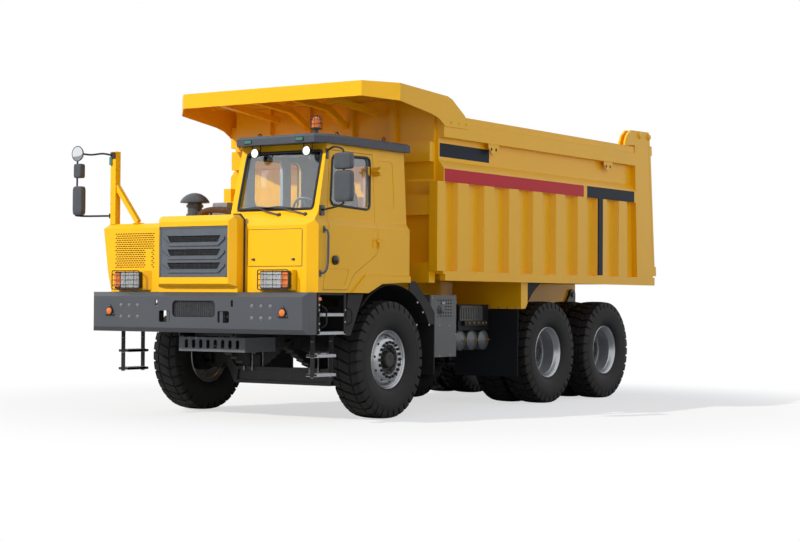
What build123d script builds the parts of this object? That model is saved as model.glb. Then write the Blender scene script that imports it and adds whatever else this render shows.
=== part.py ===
"""Mining dump truck, three axles, tipping bed. Millimetres, +X forward, +Y left, +Z up.

The origin lies on the ground under the middle of the whole machine.
"""
import os
from math import asin, cos, hypot, pi, sin

from build123d import *

os.makedirs("parts", exist_ok=True)

# Axles, front leaf springs and wheels
FRONT_AXLE_X = 2750.0
FRONT_SPRING_HALF = 850.0
SPRING_PAD_HALF = 120.0
HANGER_HALF = 50.0
MID_AXLE_X = -1490.0
REAR_AXLE_X = -3265.0
TYRE_RADIUS = 745.0
TYRE_HALF_WIDTH = 215.0
LUG_HEIGHT = 30.0
LUG_COUNT = 18
RIM_HALF_WIDTH = 160.0
RIM_RADIUS = 372.0
RIM_BARREL_RADIUS = 335.0
RIM_WALL = 14.0
AXLE_Z = TYRE_RADIUS
FRONT_WHEEL_Y = 1470.0
DUAL_OUTER_Y = 1395.0
DUAL_INNER_Y = 905.0
KINGPIN_Y = FRONT_WHEEL_Y - 350.0
KINGPIN_RADIUS = 38.0
SPINDLE_RADIUS = 62.0
RUNNING_GAP = 0.6
SEAT_GAP = 0.3
AXLE_TUBE_RADIUS = 75.0
DUAL_DISC = 20.0
STEER_ARM = 260.0

# Cab, left of the hood
CAB_OVERHANG = 1650.0
CAB_FRONT_X = FRONT_AXLE_X + CAB_OVERHANG
CAB_REAR_X = FRONT_AXLE_X - 365.0
CAB_INNER_Y = 300.0
CAB_SIDE_Y = 1700.0
CAB_WAIST_Y = CAB_SIDE_Y - 50.0
CAB_EAVE_Y = CAB_SIDE_Y - 100.0
CAB_LOW = 1580.0
CAB_BELT = CAB_LOW + 805.0
CAB_WAIST = CAB_BELT + 75.0
CAB_TOP = CAB_LOW + 1800.0
CAB_WALL = 50.0
CAB_FLOOR = CAB_LOW + 140.0
CAB_ARCH_Z = CAB_LOW + 137.0
WINDSHIELD_LOW_X = CAB_FRONT_X - 145.0
WINDSHIELD_TOP_X = CAB_FRONT_X - 370.0
WINDSHIELD_LOW = CAB_BELT + 160.0
ROOF_CAP_HIGH = 110.0

# Chassis frame
FRAME_TOP = CAB_LOW - 180.0
FRAME_DEPTH = 380.0
FRAME_OUTER_Y = 460.0
FRAME_FLANGE = 85.0
FRAME_PLATE = 14.0
FRAME_FRONT_X = CAB_FRONT_X - 60.0
FRAME_REAR_X = -4300.0
FRAME_BOTTOM = FRAME_TOP - FRAME_DEPTH
FRAME_INNER_Y = FRAME_OUTER_Y - FRAME_FLANGE
CROSS_MEMBER_X = (FRAME_FRONT_X - 90, FRONT_AXLE_X - 850, 600.0, -700.0, (MID_AXLE_X + REAR_AXLE_X) / 2,
                  FRAME_REAR_X + 60)
CROSS_MEMBER_WIDTH = 120.0
CROSS_MEMBER_LOW = FRAME_BOTTOM + 150.0

# Bumper and hood
HOOD_FRONT_X = CAB_FRONT_X + 210.0
HOOD_HALF_WIDTH = 630.0
HOOD_LIP_Z = CAB_LOW + 100.0
HOOD_TOP = CAB_LOW + 940.0
HOOD_PLATE = 20.0
HOOD_CHAMFER = 75.0
HOOD_RECESS = 90.0
BUMPER_FRONT_X = HOOD_FRONT_X - 13.0
BUMPER_REAR_X = CAB_FRONT_X - 10.0
BUMPER_HALF_WIDTH = CAB_SIDE_Y + 30.0
BUMPER_HIGH = CAB_LOW - 2.0
BUMPER_LOW = BUMPER_HIGH - 498.0
BUMPER_CHAMFER = 55.0
BUMPER_PLATE = 16.0

# Tipping bed
BED_PIVOT_X = FRAME_REAR_X + 100.0
BED_PIVOT_Z = FRAME_TOP + 200.0
BED_PIVOT_RADIUS = 45.0
BED_HALF_WIDTH = 1800.0
BED_WALL_Y = BED_HALF_WIDTH - 85.0
BED_WALL = 45.0
BED_INNER_Y = BED_WALL_Y - BED_WALL
BED_FRONT_X = CAB_REAR_X - 495.0
BED_FRONT_DEPTH = 150.0
BED_FLOOR_FRONT_X = BED_FRONT_X - BED_FRONT_DEPTH
BED_REAR_X = FRAME_REAR_X - 240.0
BED_BEAM_LOW = FRAME_TOP + 20.0
BED_RAIL_LOW = FRAME_TOP + 355.0
BED_RAIL_HIGH = BED_RAIL_LOW + 125.0
BED_FLOOR_PLATE = 40.0
BED_MID_LOW = BED_RAIL_HIGH + 1170.0
BED_MID_HIGH = BED_MID_LOW + 175.0
BED_MID_SLOPE = BED_MID_LOW + 285.0
BED_TOP_LOW = BED_RAIL_HIGH + 1753.0
BED_TOP = BED_RAIL_HIGH + 2050.0
BED_WALL_TOP = BED_TOP + 223.0
RIB_FIRST_X = BED_FRONT_X - 495.0
RIB_LAST_X = BED_REAR_X + 1266.0
RIB_WIDTH = 272.0
RIB_SLOPE = 40.0
RIB_COUNT = 8
RIB_PITCH = (RIB_FIRST_X - RIB_LAST_X) / (RIB_COUNT - 1)
CANOPY_FRONT_X = BED_FRONT_X + 1255.0
HOIST_Y = 230.0
HOIST_BASE = (MID_AXLE_X + 450.0, BED_PIVOT_Z - 1040.0)
HOIST_EYE = (HOIST_BASE[0] + 140.0, BED_PIVOT_Z + 90.0)
HOIST_EAR = 24.0
UP = Vector(0, 0, 1)


def span(side, near, far):
    """Low and high Y of a stretch between two distances from the machine's middle."""
    return sorted((side * near, side * far))


def profile(points, plane=Plane.XZ):
    """Face on a plane through the given corner points."""
    with BuildSketch(plane) as sketch:
        with BuildLine():
            Polyline(*points, close=True)
        make_face()
    return sketch.sketch


def slab(points, low_y, high_y, mode=Mode.ADD):
    """Solid with an X-Z outline between two Y values, added to the open part."""
    extrude(profile(points, Plane.XZ.offset(-low_y)), amount=-(high_y - low_y), mode=mode)


def cross_slab(points, low_x, high_x, mode=Mode.ADD):
    """Solid with a Y-Z outline between two X values, added to the open part."""
    extrude(profile(points, Plane.YZ.offset(low_x)), amount=high_x - low_x, mode=mode)


def plan_slab(points, low_z, high_z, mode=Mode.ADD):
    """Solid with an X-Y outline between two heights, added to the open part."""
    extrude(profile(points, Plane.XY.offset(low_z)), amount=high_z - low_z, mode=mode)


def block(low, high, mode=Mode.ADD):
    """Box between two corners, added to the open part."""
    centre = [(a + b) / 2 for a, b in zip(low, high)]
    size = [b - a for a, b in zip(low, high)]
    with Locations(tuple(centre)):
        Box(*size, mode=mode)


def side_block(side, xs, ys, zs, mode=Mode.ADD):
    """Box on one side of the machine: ranges of X, distance from the middle, and Z."""
    low_y, high_y = span(side, *ys)
    block((xs[0], low_y, zs[0]), (xs[1], high_y, zs[1]), mode)


def rod(start, end, radius, mode=Mode.ADD):
    """Round bar from start to end, added to the open part."""
    path = Vector(*end) - Vector(*start)
    with BuildSketch(Plane(origin=start, z_dir=path)) as section:
        Circle(radius)
    extrude(section.sketch, amount=path.length, mode=mode)


def bent_rod(points, radius):
    """Round bar through points with a ball at each bend, added to the open part."""
    for start, end in zip(points, points[1:]):
        rod(start, end, radius)
    for bend in points[1:-1]:
        with Locations(bend):
            Sphere(radius)


def dome_middle(radius, rise):
    """Middle of a ball-shaped dome's arc, as (distance from the axis, height over the rim)."""
    ball = (radius * radius + rise * rise) / (2 * rise)
    angle = asin(radius / ball) / 2
    return ball * sin(angle), rise - ball + ball * cos(angle)


def square_tube(start, end, width):
    """Square bar from start to end, added to the open part."""
    path = Vector(*end) - Vector(*start)
    across = path.cross(Vector(1, 0, 0) if path.cross(UP).length < 1 else UP)
    with BuildSketch(Plane(origin=start, x_dir=across, z_dir=path)) as section:
        Rectangle(width, width)
    extrude(section.sketch, amount=path.length)


def finish(name, part):
    """Label a finished piece and write it."""
    part.label = name
    export_step(part, f"parts/{name}.step")


# Chassis frame: two channel rails joined by cross members
CAB_MOUNT_X = (CAB_FRONT_X - 750, CAB_FRONT_X - 650)
BED_PAD_X = (BED_FRONT_X - 440, BED_FRONT_X - 1890, MID_AXLE_X - 510)
BED_REST_GAP = 0.2
with BuildPart() as frame_rails:
    for side in (1, -1):
        side_block(side, (FRAME_REAR_X, FRAME_FRONT_X), (FRAME_INNER_Y, FRAME_OUTER_Y),
                   (FRAME_BOTTOM, FRAME_TOP))
        side_block(side, (FRAME_REAR_X - 1, FRAME_FRONT_X + 1),
                   (FRAME_INNER_Y - 1, FRAME_OUTER_Y - FRAME_PLATE),
                   (FRAME_BOTTOM + FRAME_PLATE, FRAME_TOP - FRAME_PLATE), Mode.SUBTRACT)
    inside_y = FRAME_OUTER_Y - FRAME_PLATE
    for cross_x in CROSS_MEMBER_X:
        block((cross_x - CROSS_MEMBER_WIDTH / 2, -inside_y, CROSS_MEMBER_LOW),
              (cross_x + CROSS_MEMBER_WIDTH / 2, inside_y, FRAME_TOP - FRAME_PLATE))
    for side, mount_top in ((1, CAB_FLOOR), (-1, CAB_LOW)):
        # rubber pads on which the lowered bed rests
        for pad_x in BED_PAD_X:
            side_block(side, (pad_x - 90, pad_x + 90), (FRAME_INNER_Y + 5, FRAME_OUTER_Y - 10),
                       (FRAME_TOP - 1, BED_BEAM_LOW - BED_REST_GAP))
        # bracket plates that carry the pin of the bed
        with BuildSketch(Plane.XZ.offset(-side * (FRAME_OUTER_Y + 20))):
            with BuildLine():
                Polyline((BED_PIVOT_X - 90, FRAME_BOTTOM + 60), (BED_PIVOT_X + 330, FRAME_BOTTOM + 60),
                         (BED_PIVOT_X + 330, FRAME_TOP - 60), (BED_PIVOT_X + 90, BED_PIVOT_Z),
                         (BED_PIVOT_X - 90, BED_PIVOT_Z), close=True)
            make_face()
            with Locations((BED_PIVOT_X, BED_PIVOT_Z)):
                Circle(BED_PIVOT_RADIUS * 2)
        extrude(amount=20, both=True)
        rod((BED_PIVOT_X, side * (FRAME_INNER_Y - 60), BED_PIVOT_Z),
            (BED_PIVOT_X, side * (FRAME_OUTER_Y + 60), BED_PIVOT_Z), BED_PIVOT_RADIUS)
        # outriggers and mounts for cab and side housing
        side_block(side, CAB_MOUNT_X, (FRAME_OUTER_Y - 1, 1200), (FRAME_TOP - 100, FRAME_TOP))
        side_block(side, CAB_MOUNT_X, (1050, 1150), (FRAME_TOP - 1, mount_top))
    # columns of the mounts: X, Y, height
    for mount_x, mount_y, mount_top in ((CAB_FRONT_X - 1000, CAB_INNER_Y + 115, CAB_FLOOR),
                                        (CAB_REAR_X + 75, CAB_INNER_Y + 115, CAB_ARCH_Z),
                                        (CAB_REAR_X + 75, -CAB_INNER_Y - 115, BUMPER_HIGH)):
        block((mount_x - 40, mount_y - 35, FRAME_TOP - 1), (mount_x + 40, mount_y + 35, mount_top))
finish("frame_rails", frame_rails.part)

# Bumper: a bent plate box, open at the back
TOW_LUG = 50.0
TOW_PIN_RADIUS = 22.5
with BuildPart() as bumper:
    fold_x = BUMPER_FRONT_X - BUMPER_CHAMFER
    slab([(BUMPER_REAR_X, BUMPER_LOW), (fold_x, BUMPER_LOW), (BUMPER_FRONT_X, BUMPER_LOW + BUMPER_CHAMFER),
          (BUMPER_FRONT_X, BUMPER_HIGH - BUMPER_CHAMFER), (fold_x, BUMPER_HIGH),
          (BUMPER_REAR_X, BUMPER_HIGH)],
         -BUMPER_HALF_WIDTH, BUMPER_HALF_WIDTH)
    chamfer(bumper.edges().filter_by(Axis.Z).group_by(Axis.X)[-1], BUMPER_CHAMFER)
    inside = BUMPER_HALF_WIDTH - BUMPER_PLATE
    block((BUMPER_REAR_X - 1, -inside, BUMPER_LOW + BUMPER_PLATE),
          (fold_x, inside, BUMPER_HIGH - BUMPER_PLATE),
          Mode.SUBTRACT)
    inside -= BUMPER_CHAMFER
    block((fold_x - 1, -inside, BUMPER_LOW + BUMPER_CHAMFER),
          (BUMPER_FRONT_X - BUMPER_PLATE, inside, BUMPER_HIGH - BUMPER_CHAMFER), Mode.SUBTRACT)
    # cooling window, two slots and two towing windows: Y, height over the lower edge, width, height, corner
    with BuildSketch(Plane.YZ.offset(BUMPER_FRONT_X - BUMPER_PLATE - 1)):
        for window_y, window_z, width, high, corner in (
                (0, 292, 690, 203, 55), (608, 362, 33, 75, 6), (-608, 362, 33, 75, 6),
                (475, 198, 180, 143, 22), (-475, 198, 180, 143, 22)):
            with Locations((window_y, BUMPER_LOW + window_z)):
                RectangleRounded(width, high, corner)
    extrude(amount=BUMPER_PLATE + 2, mode=Mode.SUBTRACT)
    # tow lugs behind the square windows, tied back to the frame
    lug_y = FRAME_OUTER_Y - 30
    tow_x = BUMPER_FRONT_X - 90
    for side in (1, -1):
        side_block(side, (FRAME_FRONT_X, BUMPER_FRONT_X - BUMPER_PLATE),
                   (lug_y - TOW_LUG / 2, lug_y + TOW_LUG / 2),
                   (BUMPER_LOW + 100, BUMPER_LOW + 300))
        rod((tow_x, side * lug_y - TOW_LUG, BUMPER_LOW + 200),
            (tow_x, side * lug_y + TOW_LUG, BUMPER_LOW + 200),
            TOW_PIN_RADIUS, Mode.SUBTRACT)
finish("bumper", bumper.part)

# Guard under the radiator with arched slots
GUARD_FRONT_X = BUMPER_REAR_X - 140.0
GUARD_REAR_X = FRONT_AXLE_X + FRONT_SPRING_HALF + HANGER_HALF
GUARD_HALF_WIDTH = FRAME_OUTER_Y + 75.0
GUARD_LOW = FRAME_BOTTOM - 180.0
GUARD_PLATE = 12.0
with BuildPart() as skid_guard:
    block((GUARD_REAR_X, -GUARD_HALF_WIDTH, GUARD_LOW), (GUARD_FRONT_X, GUARD_HALF_WIDTH, FRAME_BOTTOM))
    block((GUARD_REAR_X - 1, -GUARD_HALF_WIDTH + GUARD_PLATE, GUARD_LOW + GUARD_PLATE),
          (GUARD_FRONT_X - GUARD_PLATE, GUARD_HALF_WIDTH - GUARD_PLATE, FRAME_BOTTOM + 1), Mode.SUBTRACT)
    with BuildSketch(Plane.YZ.offset(GUARD_FRONT_X)):
        with Locations((0, GUARD_LOW + 95)):
            with GridLocations(118, 1, 8, 1):
                SlotOverall(110, 56, rotation=90)
    extrude(amount=-2 * GUARD_PLATE, mode=Mode.SUBTRACT)
finish("skid_guard", skid_guard.part)

# Engine and gearbox as one plain heavy block
ENGINE_FRONT_X = CAB_FRONT_X - 250.0
GEARBOX_REAR_X = CAB_REAR_X - 35.0
GEARBOX_SHARE = 7 / 18
ENGINE_REAR_X = GEARBOX_REAR_X + GEARBOX_SHARE * (ENGINE_FRONT_X - GEARBOX_REAR_X)
SHAFT_Z = AXLE_Z + 375.0
with BuildPart() as engine_block:
    block((ENGINE_REAR_X, -FRAME_INNER_Y + 15, FRAME_BOTTOM + 10),
          (ENGINE_FRONT_X, CAB_INNER_Y - 40, HOOD_TOP - 370))
    block((GEARBOX_REAR_X, -250, FRAME_BOTTOM + 10), (ENGINE_REAR_X + 1, 250, FRAME_TOP + 50))
    for low_y, high_y in ((-FRAME_OUTER_Y, -FRAME_INNER_Y + 16), (CAB_INNER_Y - 41, FRAME_OUTER_Y)):
        block((ENGINE_REAR_X + 450, low_y, FRAME_TOP), (ENGINE_REAR_X + 570, high_y, FRAME_TOP + 40))
finish("engine_block", engine_block.part)

# Hood: wide folded nose in front of the cab, narrower behind
GRILLE_LOW = (-560.0, HOOD_LIP_Z + 80.0)
GRILLE_HIGH = (545.0, HOOD_TOP - 135.0)
with BuildPart() as engine_hood:
    nose_x = CAB_FRONT_X + 3
    lip_x = HOOD_FRONT_X - HOOD_RECESS
    slab([(nose_x, BUMPER_HIGH), (lip_x, BUMPER_HIGH), (lip_x, HOOD_LIP_Z - 40), (HOOD_FRONT_X, HOOD_LIP_Z),
          (HOOD_FRONT_X, HOOD_TOP - HOOD_CHAMFER), (HOOD_FRONT_X - HOOD_CHAMFER, HOOD_TOP),
          (nose_x, HOOD_TOP)],
         -HOOD_HALF_WIDTH, HOOD_HALF_WIDTH)
    chamfer(engine_hood.edges().filter_by(Axis.Z).group_by(Axis.X)[-1], HOOD_CHAMFER)
    chamfer(engine_hood.faces().sort_by(Axis.Z)[-1].edges().filter_by(Axis.X), HOOD_CHAMFER * 0.8)
    back_y = CAB_INNER_Y - 3
    slab([(CAB_REAR_X, BUMPER_HIGH), (nose_x + 1, BUMPER_HIGH), (nose_x + 1, HOOD_TOP),
          (CAB_REAR_X, HOOD_TOP)],
         -HOOD_HALF_WIDTH, back_y)
    block((nose_x + HOOD_PLATE, -HOOD_HALF_WIDTH + HOOD_PLATE, BUMPER_HIGH - 1),
          (lip_x - HOOD_PLATE, HOOD_HALF_WIDTH - HOOD_PLATE, HOOD_TOP - HOOD_CHAMFER), Mode.SUBTRACT)
    block((CAB_REAR_X - 1, -HOOD_HALF_WIDTH + HOOD_PLATE, BUMPER_HIGH - 1),
          (nose_x + 37, back_y - HOOD_PLATE, HOOD_TOP - HOOD_PLATE), Mode.SUBTRACT)
    block((HOOD_FRONT_X - 2 * HOOD_RECESS, *GRILLE_LOW), (HOOD_FRONT_X + 1, *GRILLE_HIGH), Mode.SUBTRACT)
    # bar across the open bottom at the back
    block((CAB_REAR_X, -HOOD_HALF_WIDTH + 1, BUMPER_HIGH), (CAB_REAR_X + 150, back_y - 1, BUMPER_HIGH + 30))
finish("engine_hood", engine_hood.part)

# Grille set into the nose: a frame plate with three openings, each with upright bars and a winged ledge
GRILLE_FACE_X = HOOD_FRONT_X - 8.0
GRILLE_ROWS = 3
GRILLE_PITCH = 165.0
GRILLE_OPENING = (740.0, 74.0)
GRILLE_BARS = 15
LEDGE_HALF = 385.0
LEDGE_WING = 115.0
LEDGE_RISE = 82.0
LEDGE_HIGH = 26.0
with BuildPart() as grille:
    middle_y = (GRILLE_LOW[0] + GRILLE_HIGH[0]) / 2
    middle_z = (GRILLE_LOW[1] + GRILLE_HIGH[1]) / 2
    block((GRILLE_FACE_X - 52, *GRILLE_LOW), (GRILLE_FACE_X, *GRILLE_HIGH))
    for row in range(GRILLE_ROWS):
        row_z = middle_z + (row - 1) * GRILLE_PITCH
        opening_y, opening_z = GRILLE_OPENING[0] / 2, GRILLE_OPENING[1] / 2
        cross_slab([(middle_y - opening_y, row_z - opening_z), (middle_y + opening_y, row_z - opening_z),
                    (middle_y + opening_y + 45, row_z + opening_z),
                    (middle_y - opening_y - 45, row_z + opening_z)],
                   GRILLE_FACE_X - 53, GRILLE_FACE_X + 1, Mode.SUBTRACT)
        with Locations((GRILLE_FACE_X - 40, middle_y, row_z)):
            with GridLocations(1, GRILLE_OPENING[0] / GRILLE_BARS, 1, GRILLE_BARS):
                Box(12, 9, GRILLE_OPENING[1] + 2)
        # the ledge runs level under the opening and rises at both ends
        wing = [(LEDGE_HALF + LEDGE_WING, LEDGE_RISE), (LEDGE_HALF, 0)]
        under = [(y, z - LEDGE_HIGH) for y, z in wing]
        outline = wing + [(-y, z) for y, z in reversed(wing)] + [(-y, z) for y, z in under] + under[::-1]
        ledge_z = row_z - opening_z - 14
        cross_slab([(middle_y + y, ledge_z + z) for y, z in outline], GRILLE_FACE_X - 20, GRILLE_FACE_X + 16)
finish("grille", grille.part)


def cab_volume(inset, low, high):
    """Cab block: side outline, leaning side wall, all set in by one wall thickness."""
    front = CAB_FRONT_X - inset
    rear = CAB_REAR_X + inset
    lean = (WINDSHIELD_TOP_X - WINDSHIELD_LOW_X) / (CAB_TOP - WINDSHIELD_LOW)
    with BuildPart() as volume:
        slab([(rear, low), (front, low), (front, CAB_BELT), (WINDSHIELD_LOW_X - inset, WINDSHIELD_LOW),
              (WINDSHIELD_TOP_X - inset + (high - CAB_TOP) * lean, high), (rear, high)],
             CAB_INNER_Y + inset, CAB_SIDE_Y)
        side_outline = [(CAB_INNER_Y, low), (CAB_SIDE_Y - inset, low), (CAB_SIDE_Y - inset, CAB_BELT),
                        (CAB_WAIST_Y - inset, CAB_WAIST), (CAB_EAVE_Y - inset, high), (CAB_INNER_Y, high)]
        cross_slab(side_outline, CAB_REAR_X - 10, CAB_FRONT_X + 10, Mode.INTERSECT)
        # the corner between front panel and door
        plan = [(CAB_REAR_X, CAB_INNER_Y), (front, CAB_INNER_Y), (front, CAB_SIDE_Y - 120 - inset * 0.4),
                (CAB_FRONT_X - 80 - inset * 0.8, CAB_SIDE_Y), (CAB_REAR_X, CAB_SIDE_Y)]
        plan_slab(plan, low, high, Mode.INTERSECT)
    return volume.part


DOOR_REAR_X = CAB_REAR_X + 710.0
DOOR_FRONT_X = CAB_FRONT_X - 165.0
DOOR_GAP = 6.0
DOOR_BEVEL = 70.0
DOOR_LOW = CAB_LOW + 37.0
DOOR_TOP = CAB_TOP - 80.0
DOOR_HINGE_Y = CAB_SIDE_Y + 25.0
DOOR_HINGES = ((CAB_TOP - 320.0, CAB_EAVE_Y + 17.0), (CAB_LOW + 610.0, CAB_SIDE_Y))
HINGE_PIN_RADIUS = 9.0
HINGE_HIGH = 40.0
DOOR_OUTLINE = [(DOOR_FRONT_X, DOOR_LOW), (CAB_FRONT_X - 664, DOOR_LOW), (CAB_FRONT_X - 801, DOOR_LOW + 193),
                (DOOR_REAR_X + 37, DOOR_LOW + 433), (DOOR_REAR_X, DOOR_LOW + 493), (DOOR_REAR_X, DOOR_TOP),
                (WINDSHIELD_TOP_X - 10, DOOR_TOP), (DOOR_FRONT_X - 115, CAB_BELT)]
ARCH_OUTLINE = [(CAB_REAR_X - 1, CAB_LOW - 1), (CAB_REAR_X - 1, CAB_ARCH_Z), (FRONT_AXLE_X - 200, CAB_ARCH_Z),
                (FRONT_AXLE_X + 261, CAB_ARCH_Z - 20), (FRONT_AXLE_X + 564, CAB_LOW - 1)]
FLARE_OUTLINE = [(CAB_FRONT_X - 730, CAB_LOW), (CAB_FRONT_X - 1040, CAB_LOW + 230),
                 (CAB_REAR_X, CAB_LOW + 230),
                 (CAB_REAR_X, CAB_ARCH_Z), (FRONT_AXLE_X - 200, CAB_ARCH_Z),
                 (FRONT_AXLE_X + 261, CAB_ARCH_Z - 20),
                 (FRONT_AXLE_X + 564, CAB_LOW)]
FLARE_OUT = 22.0


def door_prism(grow):
    """Door outline drawn inwards; its front edge slopes back so that the door swings clear of the pillar."""
    with BuildPart() as prism:
        for face_y, back in ((CAB_SIDE_Y + 50, 0), (CAB_EAVE_Y - 150, DOOR_BEVEL)):
            outline = [(x - back if x > WINDSHIELD_TOP_X - 50 else x, z) for x, z in DOOR_OUTLINE]
            with BuildSketch(Plane.XZ.offset(-face_y)):
                with BuildLine():
                    Polyline(*outline, close=True)
                make_face()
                if grow:
                    offset(amount=grow, kind=Kind.INTERSECTION)
        loft(ruled=True)
    return prism.part


# where the glass goes: Y range, and height range of the windshield
WINDSHIELD_OPENING = ((CAB_FRONT_X - 420, CAB_INNER_Y + 90, WINDSHIELD_LOW + 25),
                      (CAB_FRONT_X, CAB_EAVE_Y - 55, CAB_TOP - 80))
cab_outer = cab_volume(0, CAB_LOW, CAB_TOP)
cab_inner = cab_volume(CAB_WALL, CAB_FLOOR + CAB_WALL, CAB_TOP - CAB_WALL)
# the door's opening goes through the wall and stops at the edge of the floor
with BuildPart() as door_opening:
    add(door_prism(DOOR_GAP))
    add(cab_volume(CAB_WALL + DOOR_GAP, CAB_LOW - 10, CAB_TOP - CAB_WALL), mode=Mode.SUBTRACT)
with BuildPart() as cab_shell:
    add(cab_outer)
    # flare over the front wheel, thinner towards its upper edge
    with BuildSketch(Plane.XZ.offset(-CAB_SIDE_Y + 1)):
        with BuildLine():
            Polyline(*FLARE_OUTLINE, close=True)
        make_face()
    extrude(amount=-FLARE_OUT - 1)
    flare_top = cab_shell.faces().sort_by(Axis.Y)[-1].edges().sort_by(Axis.Z)[-1]
    chamfer(flare_top, FLARE_OUT - 2)
    add(cab_inner, mode=Mode.SUBTRACT)
    add(door_opening.part, mode=Mode.SUBTRACT)
    # arch over the front wheel
    slab(ARCH_OUTLINE, CAB_INNER_Y - 10, CAB_SIDE_Y + FLARE_OUT + 10, Mode.SUBTRACT)
    block((FRONT_AXLE_X + 500, CAB_INNER_Y - 1, CAB_LOW - 1), (CAB_FRONT_X - 60, CAB_SIDE_Y - 60, CAB_FLOOR),
          Mode.SUBTRACT)
    # windshield, rear window and inner side window
    block(*WINDSHIELD_OPENING, Mode.SUBTRACT)
    with BuildSketch(Plane.YZ.offset(CAB_REAR_X - 1)):
        with Locations(((CAB_INNER_Y + CAB_SIDE_Y) / 2 - 25, CAB_TOP - 430)):
            RectangleRounded(CAB_SIDE_Y - CAB_INNER_Y - 550, 600, 90)
    extrude(amount=CAB_WALL + 12, mode=Mode.SUBTRACT)
    with BuildSketch(Plane.XZ.offset(-CAB_INNER_Y + 1)):
        with Locations(((CAB_REAR_X + WINDSHIELD_LOW_X) / 2 + 55, CAB_TOP - 430)):
            RectangleRounded(950, 600, 90)
    extrude(amount=-CAB_WALL - 2, mode=Mode.SUBTRACT)
    # shallow pressed panel behind the door, cut square to the leaning wall
    wall_run = Vector(0, CAB_EAVE_Y - CAB_WAIST_Y, CAB_TOP - CAB_WAIST).normalized()
    panel_z = CAB_TOP - 440
    panel_y = CAB_EAVE_Y - wall_run.Y / wall_run.Z * (CAB_TOP - panel_z)
    with BuildSketch(Plane(origin=((CAB_REAR_X + DOOR_REAR_X) / 2 + 100, panel_y, panel_z), x_dir=(1, 0, 0),
                           z_dir=(0, wall_run.Z, -wall_run.Y))):
        RectangleRounded(384, 600, 60)
    extrude(amount=-6, mode=Mode.SUBTRACT)
    for hinge_z, wall_y in DOOR_HINGES:
        block((DOOR_REAR_X - 55, wall_y - 30, hinge_z - HINGE_HIGH / 2),
              (DOOR_REAR_X - 15, DOOR_HINGE_Y + 12, hinge_z + HINGE_HIGH / 2))
        block((DOOR_REAR_X - 16, DOOR_HINGE_Y - 12, hinge_z - HINGE_HIGH / 2),
              (DOOR_REAR_X, DOOR_HINGE_Y + 12, hinge_z + HINGE_HIGH / 2))
        rod((DOOR_REAR_X, DOOR_HINGE_Y, hinge_z - HINGE_HIGH / 2), (DOOR_REAR_X, DOOR_HINGE_Y, hinge_z + 50),
            HINGE_PIN_RADIUS)
finish("cab_shell", cab_shell.part)

# Door as thick as the whole wall, hinged at its rear edge
with BuildPart() as cab_door:
    add(cab_outer)
    add(cab_volume(CAB_WALL, CAB_LOW - 10, CAB_TOP - CAB_WALL), mode=Mode.SUBTRACT)
    add(door_prism(0), mode=Mode.INTERSECT)
    window = [(DOOR_REAR_X + 105, WINDSHIELD_LOW + 65), (DOOR_REAR_X + 55, DOOR_TOP - 40),
              (WINDSHIELD_TOP_X - 95, DOOR_TOP - 60), (WINDSHIELD_LOW_X - 240, WINDSHIELD_LOW + 95)]
    with BuildSketch(Plane.XZ.offset(-(CAB_EAVE_Y - 150))):
        with BuildLine():
            Polyline(*window, close=True)
        make_face()
        fillet(vertices(), 80)
    extrude(amount=-300, mode=Mode.SUBTRACT)
    # round recess of the handle and the pressed panel below it
    rod((CAB_FRONT_X - 446, CAB_SIDE_Y - 18, CAB_LOW + 390),
        (CAB_FRONT_X - 446, CAB_SIDE_Y + 1, CAB_LOW + 390), 60,
        Mode.SUBTRACT)
    slab([(CAB_FRONT_X - 620, DOOR_LOW + 60), (CAB_FRONT_X - 240, DOOR_LOW + 60),
          (CAB_FRONT_X - 270, DOOR_LOW + 250),
          (CAB_FRONT_X - 700, DOOR_LOW + 250)], CAB_SIDE_Y - 6, CAB_SIDE_Y + 1, Mode.SUBTRACT)
    for hinge_z, wall_y in DOOR_HINGES:
        knuckle_low = hinge_z + HINGE_HIGH / 2 + SEAT_GAP
        block((DOOR_REAR_X + 14, wall_y - 30, knuckle_low),
              (DOOR_REAR_X + 60, DOOR_HINGE_Y + 12, hinge_z + 50))
        block((DOOR_REAR_X - 14, DOOR_HINGE_Y - 14, knuckle_low),
              (DOOR_REAR_X + 15, DOOR_HINGE_Y + 12, hinge_z + 50))
        rod((DOOR_REAR_X, DOOR_HINGE_Y, hinge_z), (DOOR_REAR_X, DOOR_HINGE_Y, hinge_z + 60),
            HINGE_PIN_RADIUS + RUNNING_GAP, Mode.SUBTRACT)
finish("cab_door", cab_door.part)

# Windshield pane, set into the middle of the wall
PANE = 8.0
PANE_INSET = 20.0
with BuildPart() as cab_windshield:
    add(cab_volume(PANE_INSET, CAB_LOW, CAB_TOP))
    add(cab_volume(PANE_INSET + PANE, CAB_LOW, CAB_TOP), mode=Mode.SUBTRACT)
    low, high = WINDSHIELD_OPENING
    block(tuple(a + SEAT_GAP for a in low), tuple(a - SEAT_GAP for a in high), Mode.INTERSECT)
finish("cab_windshield", cab_windshield.part)

# Roof cap with a faceted visor that overhangs the windshield
ROOF_TOP = CAB_TOP + ROOF_CAP_HIGH
VISOR_X = WINDSHIELD_TOP_X + 30.0
with BuildPart() as roof_cap:
    roof_rear = CAB_REAR_X - 45
    roof_side = CAB_EAVE_Y + 72
    plan_slab([(roof_rear, CAB_INNER_Y - 50), (VISOR_X, CAB_INNER_Y - 50), (VISOR_X + 130, CAB_INNER_Y + 30),
               (VISOR_X + 160, CAB_EAVE_Y - 420), (VISOR_X + 180, CAB_EAVE_Y - 300),
               (VISOR_X + 180, CAB_EAVE_Y - 40),
               (VISOR_X + 20, roof_side), (roof_rear, roof_side)], CAB_TOP, ROOF_TOP)
    chamfer(roof_cap.faces().sort_by(Axis.Z)[-1].edges(), 30)
finish("roof_cap", roof_cap.part)

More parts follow.
